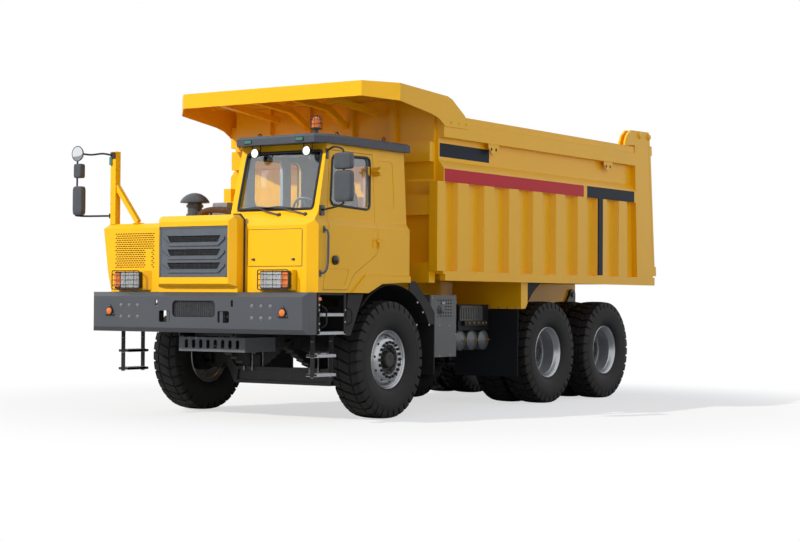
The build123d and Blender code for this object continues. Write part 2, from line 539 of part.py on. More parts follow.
# Driver seat: padded cushion and back on a box, in side view, and the dashboard with its wheel
SEAT_X = CAB_FRONT_X - 1420.0
SEAT_Y = (CAB_INNER_Y + CAB_SIDE_Y) / 2 + 100
SEAT_Z = CAB_FLOOR + 450.0
with BuildPart() as driver_seat:
    slab([(SEAT_X, SEAT_Z), (SEAT_X + 480, SEAT_Z - 5), (SEAT_X + 510, SEAT_Z + 60),
          (SEAT_X + 490, SEAT_Z + 115),
          (SEAT_X + 90, SEAT_Z + 110), (SEAT_X + 20, SEAT_Z + 560), (SEAT_X + 20, SEAT_Z + 780),
          (SEAT_X - 60, SEAT_Z + 780), (SEAT_X - 90, SEAT_Z + 560)], SEAT_Y - 235, SEAT_Y + 235)
    fillet(driver_seat.edges().filter_by(Axis.Y), 18)
    block((SEAT_X + 100, SEAT_Y - 120, CAB_FLOOR + CAB_WALL), (SEAT_X + 400, SEAT_Y + 120, SEAT_Z + 10))
finish("driver_seat", driver_seat.part)
DASH_X = CAB_FRONT_X - 400.0
WHEEL_HUB = (CAB_FRONT_X - 680.0, SEAT_Y, CAB_FLOOR + 840.0)
WHEEL_RADIUS = 215.0
with BuildPart() as dashboard:
    dash_top = CAB_FLOOR + 760
    slab([(DASH_X, CAB_FLOOR + CAB_WALL), (DASH_X + 340, CAB_FLOOR + CAB_WALL), (DASH_X + 340, CAB_BELT - 5),
          (DASH_X + 200, dash_top), (DASH_X, dash_top - 30)], CAB_INNER_Y + CAB_WALL + 5, CAB_SIDE_Y - 130)
    rod((DASH_X + 50, SEAT_Y, dash_top - 130), WHEEL_HUB, 25)
    with Locations(Plane(origin=WHEEL_HUB, z_dir=(-330, 0, 210))):
        Torus(WHEEL_RADIUS, 16)
        Box(2 * WHEEL_RADIUS, 36, 14)
finish("dashboard", dashboard.part)

# Housing on the right of the hood, for coolers and filters
HOUSING_TOP = HOOD_TOP - 70.0
with BuildPart() as side_housing:
    slab([(CAB_REAR_X, CAB_ARCH_Z), (FRONT_AXLE_X + 261, CAB_ARCH_Z - 20), (FRONT_AXLE_X + 564, CAB_LOW),
          (CAB_FRONT_X, CAB_LOW), (CAB_FRONT_X, HOUSING_TOP - 60), (CAB_FRONT_X - 70, HOUSING_TOP),
          (CAB_REAR_X, HOUSING_TOP)], -CAB_SIDE_Y, -HOOD_HALF_WIDTH)
    cross_slab([(-HOOD_HALF_WIDTH, CAB_LOW), (-CAB_SIDE_Y + 140, CAB_LOW), (-CAB_SIDE_Y + 80, CAB_LOW + 250),
                (-CAB_SIDE_Y, HOUSING_TOP - 60), (-CAB_SIDE_Y + 40, HOUSING_TOP),
                (-HOOD_HALF_WIDTH, HOUSING_TOP)],
               CAB_REAR_X - 1, CAB_FRONT_X + 1, Mode.INTERSECT)
finish("side_housing", side_housing.part)

# Head lamps: a slanting box, a framed face with lamp and turn lamp, and a wire guard
LAMP_NEAR_Y = 951.0
LAMP_FAR_Y = 1409.0
LAMP_LOW = CAB_LOW + 30.0
LAMP_HIGH = CAB_LOW + 265.0
LAMP_FACE_X = CAB_FRONT_X + 96.0
GUARD_WIRE = 5.0
with BuildPart() as head_lamps:
    for side in (1, -1):
        plan = [(CAB_FRONT_X, LAMP_NEAR_Y - 85), (LAMP_FACE_X, LAMP_NEAR_Y + 8),
                (LAMP_FACE_X, LAMP_FAR_Y - 8),
                (CAB_FRONT_X, LAMP_FAR_Y + 25)]
        plan_slab([(x, side * y) for x, y in plan], LAMP_LOW, LAMP_HIGH)
        # recess of the face, then the lens and the turn lamp in it
        side_block(side, (LAMP_FACE_X - 12, LAMP_FACE_X + 1), (LAMP_NEAR_Y + 20, LAMP_FAR_Y - 20),
                   (LAMP_LOW + 12, LAMP_HIGH - 12), Mode.SUBTRACT)
        side_block(side, (LAMP_FACE_X - 13, LAMP_FACE_X - 4), (LAMP_NEAR_Y + 26, LAMP_NEAR_Y + 324),
                   (LAMP_LOW + 22, LAMP_HIGH - 22))
        side_block(side, (LAMP_FACE_X - 13, LAMP_FACE_X + 2), (LAMP_NEAR_Y + 336, LAMP_FAR_Y - 28),
                   (LAMP_LOW + 26, LAMP_HIGH - 26))
        guard_x = LAMP_FACE_X + 22
        wires_z = (LAMP_LOW + 8, LAMP_LOW + 80, LAMP_LOW + 155, LAMP_HIGH - 8)
        for wire_z in wires_z:
            rod((guard_x, side * LAMP_NEAR_Y, wire_z), (guard_x, side * LAMP_FAR_Y, wire_z), GUARD_WIRE)
        for wire_y in (LAMP_NEAR_Y + 12, (LAMP_NEAR_Y + LAMP_FAR_Y) / 2, LAMP_FAR_Y - 12):
            rod((guard_x, side * wire_y, LAMP_LOW - 3), (guard_x, side * wire_y, LAMP_HIGH + 3),
                GUARD_WIRE - 1)
        for foot_y in (LAMP_NEAR_Y + 50, LAMP_FAR_Y - 50):
            for foot_z in (wires_z[0], wires_z[-1]):
                rod((LAMP_FACE_X - 8, side * foot_y, foot_z), (guard_x, side * foot_y, foot_z),
                    GUARD_WIRE - 1)
finish("head_lamps", head_lamps.part)

# Air intake with its rain cap, on the side housing
INTAKE_X = CAB_FRONT_X - 750.0
INTAKE_Y = -HOOD_HALF_WIDTH - 181.0
INTAKE_CAP_Z = HOUSING_TOP + 290.0
INTAKE_RADIUS = 95.0
CAP_RADIUS = 189.0
CAP_HIGH = 130.0
CAP_LIP = 18.0
with BuildPart() as air_intake:
    rod((INTAKE_X, INTAKE_Y, HOUSING_TOP), (INTAKE_X, INTAKE_Y, INTAKE_CAP_Z + 1), INTAKE_RADIUS)
    for collar_z in (HOUSING_TOP, HOUSING_TOP + 110, INTAKE_CAP_Z - 60):
        rod((INTAKE_X, INTAKE_Y, collar_z), (INTAKE_X, INTAKE_Y, collar_z + 35), INTAKE_RADIUS + 16)
    across, rise = dome_middle(CAP_RADIUS, CAP_HIGH - CAP_LIP)
    with BuildSketch(Plane(origin=(INTAKE_X, INTAKE_Y, INTAKE_CAP_Z), x_dir=(1, 0, 0),
                           z_dir=(0, -1, 0))) as dome:
        with BuildLine():
            Line((0, 0), (CAP_RADIUS, 0))
            Line((CAP_RADIUS, 0), (CAP_RADIUS, CAP_LIP))
            ThreePointArc((CAP_RADIUS, CAP_LIP), (across, CAP_LIP + rise), (0, CAP_HIGH))
            Line((0, CAP_HIGH), (0, 0))
        make_face()
    revolve(dome.sketch, axis=Axis((INTAKE_X, INTAKE_Y, 0), (0, 0, 1)))
finish("air_intake", air_intake.part)

# Post with its brace on the right housing, and the mirrors that it carries
POST_X = CAB_FRONT_X - 100.0
POST_Y = -CAB_SIDE_Y + 100.0
POST_TOP = CAB_TOP + 10.0
MIRROR_X = POST_X + 260.0
MIRROR_Y = POST_Y - 420.0
ARM_RADIUS = 14.0
with BuildPart() as mirror_post:
    square_tube((POST_X, POST_Y, HOUSING_TOP), (POST_X, POST_Y, POST_TOP), 90)
    square_tube((POST_X, POST_Y + 20, HOUSING_TOP + 510), (POST_X, POST_Y + 404, HOUSING_TOP + 20), 60)
    block((POST_X - 50, POST_Y + 350, HOUSING_TOP), (POST_X + 50, POST_Y + 460, HOUSING_TOP + 12))
finish("mirror_post", mirror_post.part)
ARM_TOP = POST_TOP - 50.0
ARM_LOW_Z = HOUSING_TOP + 110.0
ARM_FOOT = 12.0
with BuildPart() as right_mirrors:
    # arm from a foot on the post's front face, down past the heads to a foot on its outer face
    face_x = POST_X + 45
    face_y = POST_Y - 45
    block((face_x, POST_Y - 35, ARM_TOP - 35), (face_x + ARM_FOOT, POST_Y + 35, ARM_TOP + 35))
    block((POST_X - 35, face_y - ARM_FOOT, ARM_LOW_Z - 35), (POST_X + 35, face_y, ARM_LOW_Z + 35))
    bent_rod([(face_x + 14, POST_Y, ARM_TOP), (MIRROR_X - 40, MIRROR_Y, ARM_TOP),
              (MIRROR_X, MIRROR_Y, ARM_TOP - 40),
              (MIRROR_X, MIRROR_Y, ARM_LOW_Z), (POST_X, face_y - 9, ARM_LOW_Z)], ARM_RADIUS)
    with BuildPart() as mirror_heads:
        block((MIRROR_X - 40, MIRROR_Y - 65, HOUSING_TOP + 200),
              (MIRROR_X + 40, MIRROR_Y + 75, HOUSING_TOP + 550))
        block((MIRROR_X - 40, MIRROR_Y - 55, HOUSING_TOP + 630),
              (MIRROR_X + 40, MIRROR_Y + 55, HOUSING_TOP + 770))
        fillet(mirror_heads.edges(), 25)
    rod((MIRROR_X - 20, MIRROR_Y, POST_TOP - 30), (MIRROR_X + 30, MIRROR_Y, POST_TOP - 30), 100)
finish("right_mirrors", right_mirrors.part)
HEAD_X = WINDSHIELD_TOP_X + 150.0
HEAD_Y = CAB_SIDE_Y + 230.0
with BuildPart() as left_mirrors:
    block((HEAD_X - 170, CAB_EAVE_Y + 8.2, CAB_TOP - 150), (HEAD_X - 130, CAB_SIDE_Y - 50, CAB_TOP - 110))
    block((HEAD_X - 50, CAB_WAIST_Y - 0.4, CAB_WAIST + 10), (HEAD_X - 10, CAB_WAIST_Y + 40, CAB_WAIST + 40))
    bent_rod([(HEAD_X - 150, CAB_SIDE_Y - 60, CAB_TOP - 130), (HEAD_X - 100, CAB_SIDE_Y + 60, CAB_TOP - 80),
              (HEAD_X, HEAD_Y - 30, CAB_TOP - 90), (HEAD_X, HEAD_Y, CAB_TOP - 130),
              (HEAD_X, HEAD_Y, CAB_WAIST + 120), (HEAD_X - 10, HEAD_Y - 60, CAB_WAIST + 70),
              (HEAD_X - 30, CAB_WAIST_Y + 30, CAB_WAIST + 25)], ARM_RADIUS)
    with BuildPart() as head_cases:
        block((HEAD_X - 35, HEAD_Y - 115, CAB_TOP - 360), (HEAD_X + 45, HEAD_Y + 115, CAB_TOP - 170))
        block((HEAD_X - 35, HEAD_Y - 120, CAB_WAIST + 140), (HEAD_X + 45, HEAD_Y + 120, CAB_WAIST + 530))
        fillet(head_cases.edges(), 28)
finish("left_mirrors", left_mirrors.part)

# Steps under the cab on the left and under the housing on the right, each with a strap ladder
STEP_REAR_X = CAB_FRONT_X - 660.0
STEP_FRONT_X = BUMPER_REAR_X - 60.0
STEP_Y = (CAB_SIDE_Y - 450, CAB_SIDE_Y - 10)
STEP_PLATE = 12.0
with BuildPart() as boarding_steps:
    for side in (1, -1):
        for tread_z in (BUMPER_LOW, BUMPER_LOW + 220, CAB_LOW - 30):
            side_block(side, (STEP_REAR_X, STEP_FRONT_X), STEP_Y, (tread_z, tread_z + 30))
        # end cheeks with a window in each
        for wall_x in (STEP_REAR_X, STEP_FRONT_X - STEP_PLATE):
            side_block(side, (wall_x, wall_x + STEP_PLATE), STEP_Y, (BUMPER_LOW, CAB_LOW))
            side_block(side, (wall_x - 1, wall_x + STEP_PLATE + 1), (STEP_Y[0] + 90, STEP_Y[1] - 110),
                       (BUMPER_LOW + 275, BUMPER_LOW + 425), Mode.SUBTRACT)
        # straps and rungs of the hanging ladder
        for strap_x in (STEP_REAR_X + 90, STEP_REAR_X + 460):
            side_block(side, (strap_x - 6, strap_x + 6), (STEP_Y[1] - 190, STEP_Y[1] - 130),
                       (BUMPER_LOW - 520, BUMPER_LOW + 1))
        for rung_z in (BUMPER_LOW - 500, BUMPER_LOW - 270):
            side_block(side, (STEP_REAR_X + 80, STEP_REAR_X + 470), (STEP_Y[1] - 250, STEP_Y[1] - 90),
                       (rung_z, rung_z + 25))
finish("boarding_steps", boarding_steps.part)

# Mudguards over and behind the front wheels, with hanging flaps
LINER_RADIUS = TYRE_RADIUS + 195.0
LINER_PLATE = 8.0
GUARD_SIDE_Y = CAB_SIDE_Y - 12.0
FLAP_X = FRONT_AXLE_X - 965.0
with BuildPart() as front_mudguards:
    for side in (1, -1):
        low_y, high_y = span(side, GUARD_SIDE_Y, CAB_SIDE_Y)
        with BuildSketch(Plane.XZ.offset(-low_y)) as plate:
            with BuildLine():
                Polyline((CAB_REAR_X, CAB_ARCH_Z + 19), (CAB_REAR_X - 145, CAB_ARCH_Z + 19),
                         (FLAP_X + 15, FRAME_TOP - 48), (FLAP_X + 15, FRAME_TOP - 216),
                         (CAB_REAR_X, FRAME_TOP - 216), close=True)
            make_face()
            with Locations((FRONT_AXLE_X, AXLE_Z)):
                Circle(LINER_RADIUS, mode=Mode.SUBTRACT)
        extrude(plate.sketch, amount=low_y - high_y)
        side_block(side, (FLAP_X, FLAP_X + 16), (FRAME_OUTER_Y + 160, CAB_SIDE_Y),
                   (AXLE_Z - 225, FRAME_TOP - 60))
        side_block(side, (FLAP_X, FLAP_X + 16), (FRAME_OUTER_Y, FRAME_OUTER_Y + 161),
                   (FRAME_TOP - 180, FRAME_TOP - 60))
        # curved sheet over the wheel
        low_y, high_y = span(side, FRAME_OUTER_Y + 240, GUARD_SIDE_Y + 1)
        with BuildSketch(Plane.XZ.offset(-low_y)) as band:
            with Locations((FRONT_AXLE_X, AXLE_Z)):
                Circle(LINER_RADIUS + LINER_PLATE)
                Circle(LINER_RADIUS, mode=Mode.SUBTRACT)
            with BuildLine():
                Polyline((FRONT_AXLE_X, AXLE_Z), (FRONT_AXLE_X - 900, FRAME_TOP - 160),
                         (FRONT_AXLE_X - 900, CAB_TOP), (FRONT_AXLE_X + 700, CAB_TOP),
                         (FRONT_AXLE_X + 700, FRAME_TOP + 30), close=True)
            make_face(mode=Mode.INTERSECT)
        extrude(band.sketch, amount=low_y - high_y)
finish("front_mudguards", front_mudguards.part)

# Front axle beam, forged, with a round eye for each kingpin
BEAM_HALF = 95.0
BEAM_SPAN = KINGPIN_Y - 330.0
BEAM_LOW = AXLE_Z - 360.0
BEAM_EYE = (AXLE_Z - 103.0, AXLE_Z + 101.0)
with BuildPart() as front_axle:
    half_outline = [(BEAM_SPAN, BEAM_LOW), (BEAM_SPAN + 140, BEAM_EYE[0]), (KINGPIN_Y, BEAM_EYE[0]),
                    (KINGPIN_Y, BEAM_EYE[1]), (KINGPIN_Y - 110, BEAM_EYE[1]), (BEAM_SPAN + 110, AXLE_Z - 5),
                    (BEAM_SPAN - 30, BEAM_LOW + 220)]
    cross_slab(half_outline + [(-y, z) for y, z in reversed(half_outline)], FRONT_AXLE_X - BEAM_HALF,
               FRONT_AXLE_X + BEAM_HALF)
    # hollows that leave an I section
    for face_x in (FRONT_AXLE_X - BEAM_HALF - 1, FRONT_AXLE_X + BEAM_HALF - 30):
        cross_slab([(-BEAM_SPAN + 40, BEAM_LOW + 40), (BEAM_SPAN - 40, BEAM_LOW + 40),
                    (BEAM_SPAN - 60, BEAM_LOW + 180), (-BEAM_SPAN + 60, BEAM_LOW + 180)], face_x, face_x + 31,
                   Mode.SUBTRACT)
    for side in (1, -1):
        eye = (FRONT_AXLE_X, side * KINGPIN_Y)
        rod((*eye, BEAM_EYE[0]), (*eye, BEAM_EYE[1]), 85)
        rod((*eye, BEAM_EYE[0] - 1), (*eye, BEAM_EYE[1] + 1), KINGPIN_RADIUS + RUNNING_GAP, Mode.SUBTRACT)
finish("front_axle", front_axle.part)
KNUCKLE_PLATE = (96.0, 120.0)
ARM_LOW = AXLE_Z - 164.0


def knuckle(side):
    """Steering knuckle with kingpin, spindle and steering arm."""
    x, y = FRONT_AXLE_X, side * KINGPIN_Y
    with BuildPart() as piece:
        rod((x, y, AXLE_Z - 180), (x, y, AXLE_Z + 170), KINGPIN_RADIUS)
        side_block(side, (x - 80, x + 80), (KINGPIN_Y - 70, KINGPIN_Y + KNUCKLE_PLATE[1]),
                   (AXLE_Z + 108, AXLE_Z + 180))
        side_block(side, (x - 80, x + 80), (KINGPIN_Y - 45, KINGPIN_Y + KNUCKLE_PLATE[1]),
                   (AXLE_Z - 165, AXLE_Z - 108))
        side_block(side, (x - 80, x + 80), (KINGPIN_Y + KNUCKLE_PLATE[0], KINGPIN_Y + KNUCKLE_PLATE[1]),
                   (AXLE_Z - 165, AXLE_Z + 180))
        rod((x, y + side * 110, AXLE_Z), (x, y + side * 420, AXLE_Z), SPINDLE_RADIUS)
        side_block(side, (x - STEER_ARM, x - 60), (KINGPIN_Y - 95, KINGPIN_Y - 25), (ARM_LOW, ARM_LOW + 40))
        rod((x - STEER_ARM, y - side * 60, ARM_LOW), (x - STEER_ARM, y - side * 60, ARM_LOW + 40), 45)
    return piece.part


finish("knuckle_left", knuckle(1))
finish("knuckle_right", knuckle(-1))
with BuildPart() as tie_rod:
    tie_x = FRONT_AXLE_X - STEER_ARM
    tie_y = KINGPIN_Y - 60
    tie_z = ARM_LOW - 33
    rod((tie_x, -tie_y, tie_z), (tie_x, tie_y, tie_z), 28)
    for side in (1, -1):
        rod((tie_x, side * tie_y, tie_z - 28), (tie_x, side * tie_y, ARM_LOW - RUNNING_GAP), 42)
finish("tie_rod", tie_rod.part)


def turn(axle_x, wheel_y, outline, mode=Mode.ADD):
    """Revolve an outline of (across, radius) points about a wheel's axis."""
    plane = Plane(origin=(axle_x, wheel_y, AXLE_Z), x_dir=(0, 1, 0), z_dir=(1, 0, 0))
    revolve(profile(outline, plane), axis=Axis((axle_x, wheel_y, AXLE_Z), (0, 1, 0)), mode=mode)


# Half section of a tyre's casing, from the bead to the shoulder, as (across, radius)
BEAD_HALF = RIM_HALF_WIDTH - RIM_WALL - SEAT_GAP
SHOULDER = TYRE_RADIUS - LUG_HEIGHT - 12.0
TREAD_HALF = 150.0
CASING = [(BEAD_HALF, RIM_BARREL_RADIUS + SEAT_GAP), (BEAD_HALF, RIM_RADIUS + 5), (TYRE_HALF_WIDTH, 480),
          (TYRE_HALF_WIDTH, 600), (TREAD_HALF + 40, SHOULDER - 25), (TREAD_HALF, SHOULDER)]
# one lug as (share of the pitch, height over the groove)
LUG = ((0.0, 0.0), (0.07, LUG_HEIGHT + 4), (0.57, LUG_HEIGHT + 4), (0.64, 0.0))


def lug_ring(side, shift):
    """Lugs on one half of a tyre's width about the origin, turned by a share of the pitch."""
    pitch = 2 * pi / LUG_COUNT
    points = []
    for index in range(LUG_COUNT):
        for share, high in LUG:
            angle = (index + shift + share) * pitch
            radius = TYRE_RADIUS - LUG_HEIGHT - 4 + high
            points.append((radius * cos(angle), radius * sin(angle)))
    low_y, high_y = span(side, 0, TREAD_HALF + 22)
    with BuildSketch(Plane.XZ.offset(-low_y)) as ring:
        with BuildLine():
            Polyline(*points, close=True)
        make_face()
        Circle(SHOULDER - 80, mode=Mode.SUBTRACT)
    extrude(ring.sketch, amount=low_y - high_y)


def make_tyre():
    """One tyre about the origin: a wide casing with two staggered rings of lugs, open at the bead."""
    with BuildPart() as piece:
        outline = [(-a, r) for a, r in CASING] + [(a, r) for a, r in reversed(CASING)]
        revolve(profile(outline, Plane.YX), axis=Axis.Y)
        lug_ring(1, 0)
        lug_ring(-1, 0.5)
    return piece.part


tyre = make_tyre()


def rim_outline(sign):
    """Rim barrel with both flanges, seen in section; sign 1 has its gutter ring outside."""
    half, wall = RIM_HALF_WIDTH, RIM_WALL
    return [(sign * a, r) for a, r in (
        (-half, RIM_RADIUS), (-half, RIM_BARREL_RADIUS - wall), (half, RIM_BARREL_RADIUS - wall),
        (half, RIM_RADIUS),
        (half - wall, RIM_RADIUS), (half - wall, RIM_BARREL_RADIUS), (-half + wall, RIM_BARREL_RADIUS),
        (-half + wall, RIM_RADIUS))]


HAND_HOLES = 10
HAND_HOLE_RADIUS = 24.0


def front_wheel(side):
    """Rim of one steered wheel: dished disc with hand holes, and a hub with a recessed face."""
    y = side * FRONT_WHEEL_Y
    with BuildPart() as rim:
        turn(FRONT_AXLE_X, y, rim_outline(side))
        bore = SPINDLE_RADIUS + RUNNING_GAP
        disc = [(40, RIM_BARREL_RADIUS - 5), (60, RIM_BARREL_RADIUS - 5), (60, 300), (110, 290), (172, 252),
                (178, 235), (178, 188), (120, 186), (112, 120), (190, 112), (190, 70), (182, 62), (182, 0),
                (85, 0),
                (85, bore), (-200, bore), (-200, 150), (90, 150), (90, 215), (140, 235), (96, 262), (40, 278)]
        turn(FRONT_AXLE_X, y, [(side * a, r) for a, r in disc])
        for index in range(HAND_HOLES):
            angle = 2 * pi * (index + 0.5) / HAND_HOLES
            hole_x = FRONT_AXLE_X + 281 * cos(angle)
            hole_z = AXLE_Z + 281 * sin(angle)
            rod((hole_x, y + side * 30, hole_z), (hole_x, y + side * 150, hole_z), HAND_HOLE_RADIUS,
                Mode.SUBTRACT)
    return rim.part


def dual_rims(axle_x, side):
    """Both rims of one end of a driven axle on their hub."""
    bore = AXLE_TUBE_RADIUS + RUNNING_GAP
    with BuildPart() as rims:
        for wheel_y in (DUAL_OUTER_Y, DUAL_INNER_Y):
            turn(axle_x, side * wheel_y, rim_outline(side))
        # both discs meet between the wheels, and the hub with its gears stands in the outer rim
        hub = [(-DUAL_DISC - 100, RIM_BARREL_RADIUS - 5), (-DUAL_DISC - 120, RIM_BARREL_RADIUS - 5),
               (-18, 280),
               (-18, 215), (-260, 215), (-260, bore), (20, bore), (20, 0), (230, 0), (230, 130), (180, 190),
               (18, 215), (18, 280), (DUAL_DISC + 120, RIM_BARREL_RADIUS - 5), (DUAL_DISC + 100,
               RIM_BARREL_RADIUS - 5), (0, 300)]
        turn(axle_x, side * (DUAL_OUTER_Y + DUAL_INNER_Y) / 2, [(side * a, r) for a, r in hub])
    return rims.part


for side, side_name in ((1, "left"), (-1, "right")):
    finish(f"tyre_front_{side_name}", tyre.moved(Location((FRONT_AXLE_X, side * FRONT_WHEEL_Y, AXLE_Z))))
    finish(f"rim_front_{side_name}", front_wheel(side))
    for axle_name, axle_x in (("mid", MID_AXLE_X), ("rear", REAR_AXLE_X)):
        with BuildPart() as pair:
            for wheel_y in (DUAL_OUTER_Y, DUAL_INNER_Y):
                add(tyre.moved(Location((axle_x, side * wheel_y, AXLE_Z))))
        finish(f"tyres_{axle_name}_{side_name}", pair.part)
        finish(f"rims_{axle_name}_{side_name}", dual_rims(axle_x, side))

# Driven axles: housing, differential case and tubes that carry the hubs
PINION_Z = AXLE_Z + 60.0
PINION_LENGTH = 420.0
with BuildPart() as driven_axles:
    hub_end = (DUAL_OUTER_Y + DUAL_INNER_Y) / 2 + 15
    for axle_x in (MID_AXLE_X, REAR_AXLE_X):
        rod((axle_x, -hub_end, AXLE_Z), (axle_x, hub_end, AXLE_Z), AXLE_TUBE_RADIUS)
        rod((axle_x, -DUAL_INNER_Y + 265, AXLE_Z), (axle_x, DUAL_INNER_Y - 265, AXLE_Z), 130)
        with Locations((axle_x, 0, AXLE_Z)):
            Sphere(250)
        rod((axle_x, 0, PINION_Z), (axle_x + PINION_LENGTH, 0, PINION_Z), 95)
finish("driven_axles", driven_axles.part)
with BuildPart() as prop_shafts:
    rod((MID_AXLE_X + PINION_LENGTH + 5.2, 0, PINION_Z), (GEARBOX_REAR_X - 5.3, 0, SHAFT_Z), 55)
    rod((REAR_AXLE_X + PINION_LENGTH, 0, PINION_Z), (MID_AXLE_X - 250, 0, PINION_Z), 55)
finish("prop_shafts", prop_shafts.part)

# Leaf springs, front and rear, with the trunnion of the rear bogie
SPRING_Y = (FRAME_OUTER_Y + 30, FRAME_OUTER_Y + 140)
LEAF = 25.0
with BuildPart() as leaf_springs:
    bogie_x = (MID_AXLE_X + REAR_AXLE_X) / 2
    bogie_half = (MID_AXLE_X - REAR_AXLE_X) / 2
    pad_z = AXLE_Z + 130
    for side in (1, -1):
        spring_y = span(side, *SPRING_Y)
        # front leaves, each shorter than the one above it
        slab([(FRONT_AXLE_X - FRONT_SPRING_HALF, AXLE_Z + 215),
              (FRONT_AXLE_X - FRONT_SPRING_HALF, AXLE_Z + 189),
              (FRONT_AXLE_X - SPRING_PAD_HALF, AXLE_Z - 15), (FRONT_AXLE_X + SPRING_PAD_HALF, AXLE_Z - 15),
              (FRONT_AXLE_X + FRONT_SPRING_HALF, AXLE_Z + 189),
              (FRONT_AXLE_X + FRONT_SPRING_HALF, AXLE_Z + 215),
              (FRONT_AXLE_X + SPRING_PAD_HALF, AXLE_Z + 15),
              (FRONT_AXLE_X - SPRING_PAD_HALF, AXLE_Z + 15)], *spring_y)
        for leaf in range(1, 6):
            reach = SPRING_PAD_HALF + (FRONT_SPRING_HALF - SPRING_PAD_HALF) * (1 - 0.15 * leaf)
            end_z = AXLE_Z - 15 + 204 * (1 - 0.15 * leaf)
            top_z = AXLE_Z - 15 - LEAF * (leaf - 1)
            slab([(FRONT_AXLE_X - reach, end_z - LEAF * (leaf - 1)),
                  (FRONT_AXLE_X - SPRING_PAD_HALF, top_z + 1), (FRONT_AXLE_X + SPRING_PAD_HALF, top_z + 1),
                  (FRONT_AXLE_X + reach, end_z - LEAF * (leaf - 1)),
                  (FRONT_AXLE_X + reach, end_z - LEAF * leaf), (FRONT_AXLE_X + SPRING_PAD_HALF, top_z - LEAF),
                  (FRONT_AXLE_X - SPRING_PAD_HALF, top_z - LEAF),
                  (FRONT_AXLE_X - reach, end_z - LEAF * leaf)],
                 *spring_y)
        for hanger_x in (FRONT_AXLE_X - FRONT_SPRING_HALF, FRONT_AXLE_X + FRONT_SPRING_HALF):
            side_block(side, (hanger_x - HANGER_HALF, hanger_x + HANGER_HALF), SPRING_Y,
                       (AXLE_Z + 155, FRAME_BOTTOM + 80))
            side_block(side, (hanger_x - HANGER_HALF, hanger_x + HANGER_HALF),
                       (FRAME_OUTER_Y, SPRING_Y[0] + 10),
                       (FRAME_BOTTOM + 20, FRAME_BOTTOM + 80))
        slab([(bogie_x - bogie_half - 80, pad_z), (bogie_x - bogie_half + 80, pad_z),
              (bogie_x - 150, AXLE_Z + 115),
              (bogie_x + 150, AXLE_Z + 115), (bogie_x + bogie_half - 80, pad_z),
              (bogie_x + bogie_half + 80, pad_z),
              (bogie_x + bogie_half + 80, pad_z + 40), (bogie_x + 150, AXLE_Z + 275),
              (bogie_x - 150, AXLE_Z + 275),
              (bogie_x - bogie_half - 80, pad_z + 40)], *spring_y)
        side_block(side, (bogie_x - 130, bogie_x + 130), SPRING_Y, (AXLE_Z - 185, AXLE_Z + 116))
        slab([(bogie_x - 200, FRAME_BOTTOM + 180), (bogie_x + 200, FRAME_BOTTOM + 180),
              (bogie_x + 90, AXLE_Z - 175),
              (bogie_x - 90, AXLE_Z - 175)], *span(side, FRAME_OUTER_Y, SPRING_Y[0] + 1))
        rod((bogie_x, side * 300, AXLE_Z - 95), (bogie_x, side * (SPRING_Y[1] - 40), AXLE_Z - 95), 80)
    rod((bogie_x, -301, AXLE_Z - 95), (bogie_x, 301, AXLE_Z - 95), 60)
finish("leaf_springs", leaf_springs.part)

# Boxes and tanks on the frame's sides
BATTERY_X = (BED_FRONT_X - 805, BED_FRONT_X - 167)
with BuildPart() as battery_box:
    block((BATTERY_X[0], 1000, AXLE_Z), (BATTERY_X[1], 1600, FRAME_TOP + 165))
    fillet(battery_box.edges().filter_by(Axis.Z), 25)
    block((BATTERY_X[0] + 15, FRAME_OUTER_Y, FRAME_BOTTOM + 180),
          (BATTERY_X[1] - 23, 1010, FRAME_BOTTOM + 300))
finish("battery_box", battery_box.part)
TANK_RADIUS = 140.0
TANK_Z = AXLE_Z + 198.0
TANK_PITCH = 303.0
TANK_DOME = 50.0
TANK_Y = (560.0, 1300.0)
TANK_FIRST_X = BED_FRONT_X - 1456.0
with BuildPart() as air_tanks:
    for index in range(3):
        tank_x = TANK_FIRST_X - index * TANK_PITCH
        # shell with domed ends
        across, rise = dome_middle(TANK_RADIUS, TANK_DOME)
        with BuildSketch(Plane(origin=(tank_x, 0, TANK_Z), x_dir=(0, 1, 0), z_dir=(1, 0, 0))) as section:
            with BuildLine():
                low, high = TANK_Y
                Line((low, 0), (high, 0))
                ThreePointArc((high, 0), (high - TANK_DOME + rise, across), (high - TANK_DOME, TANK_RADIUS))
                Line((high - TANK_DOME, TANK_RADIUS), (low + TANK_DOME, TANK_RADIUS))
                ThreePointArc((low + TANK_DOME, TANK_RADIUS), (low + TANK_DOME - rise, across), (low, 0))
            make_face()
        revolve(section.sketch, axis=Axis((tank_x, 0, TANK_Z), (0, 1, 0)))
    last_x = TANK_FIRST_X - 2 * TANK_PITCH
    block((last_x - 88, 600, TANK_Z + TANK_RADIUS - 1), (TANK_FIRST_X + 106, 1280, FRAME_TOP + 40))
    block((last_x - 28, FRAME_OUTER_Y, FRAME_BOTTOM + 130), (TANK_FIRST_X + 46, 601, FRAME_BOTTOM + 280))
finish("air_tanks", air_tanks.part)
FUEL_X = (BED_FRONT_X - 2040, BED_FRONT_X - 290)
FUEL_Y = (-1560, -760)
FUEL_Z = (AXLE_Z - 25, FRAME_TOP + 20)
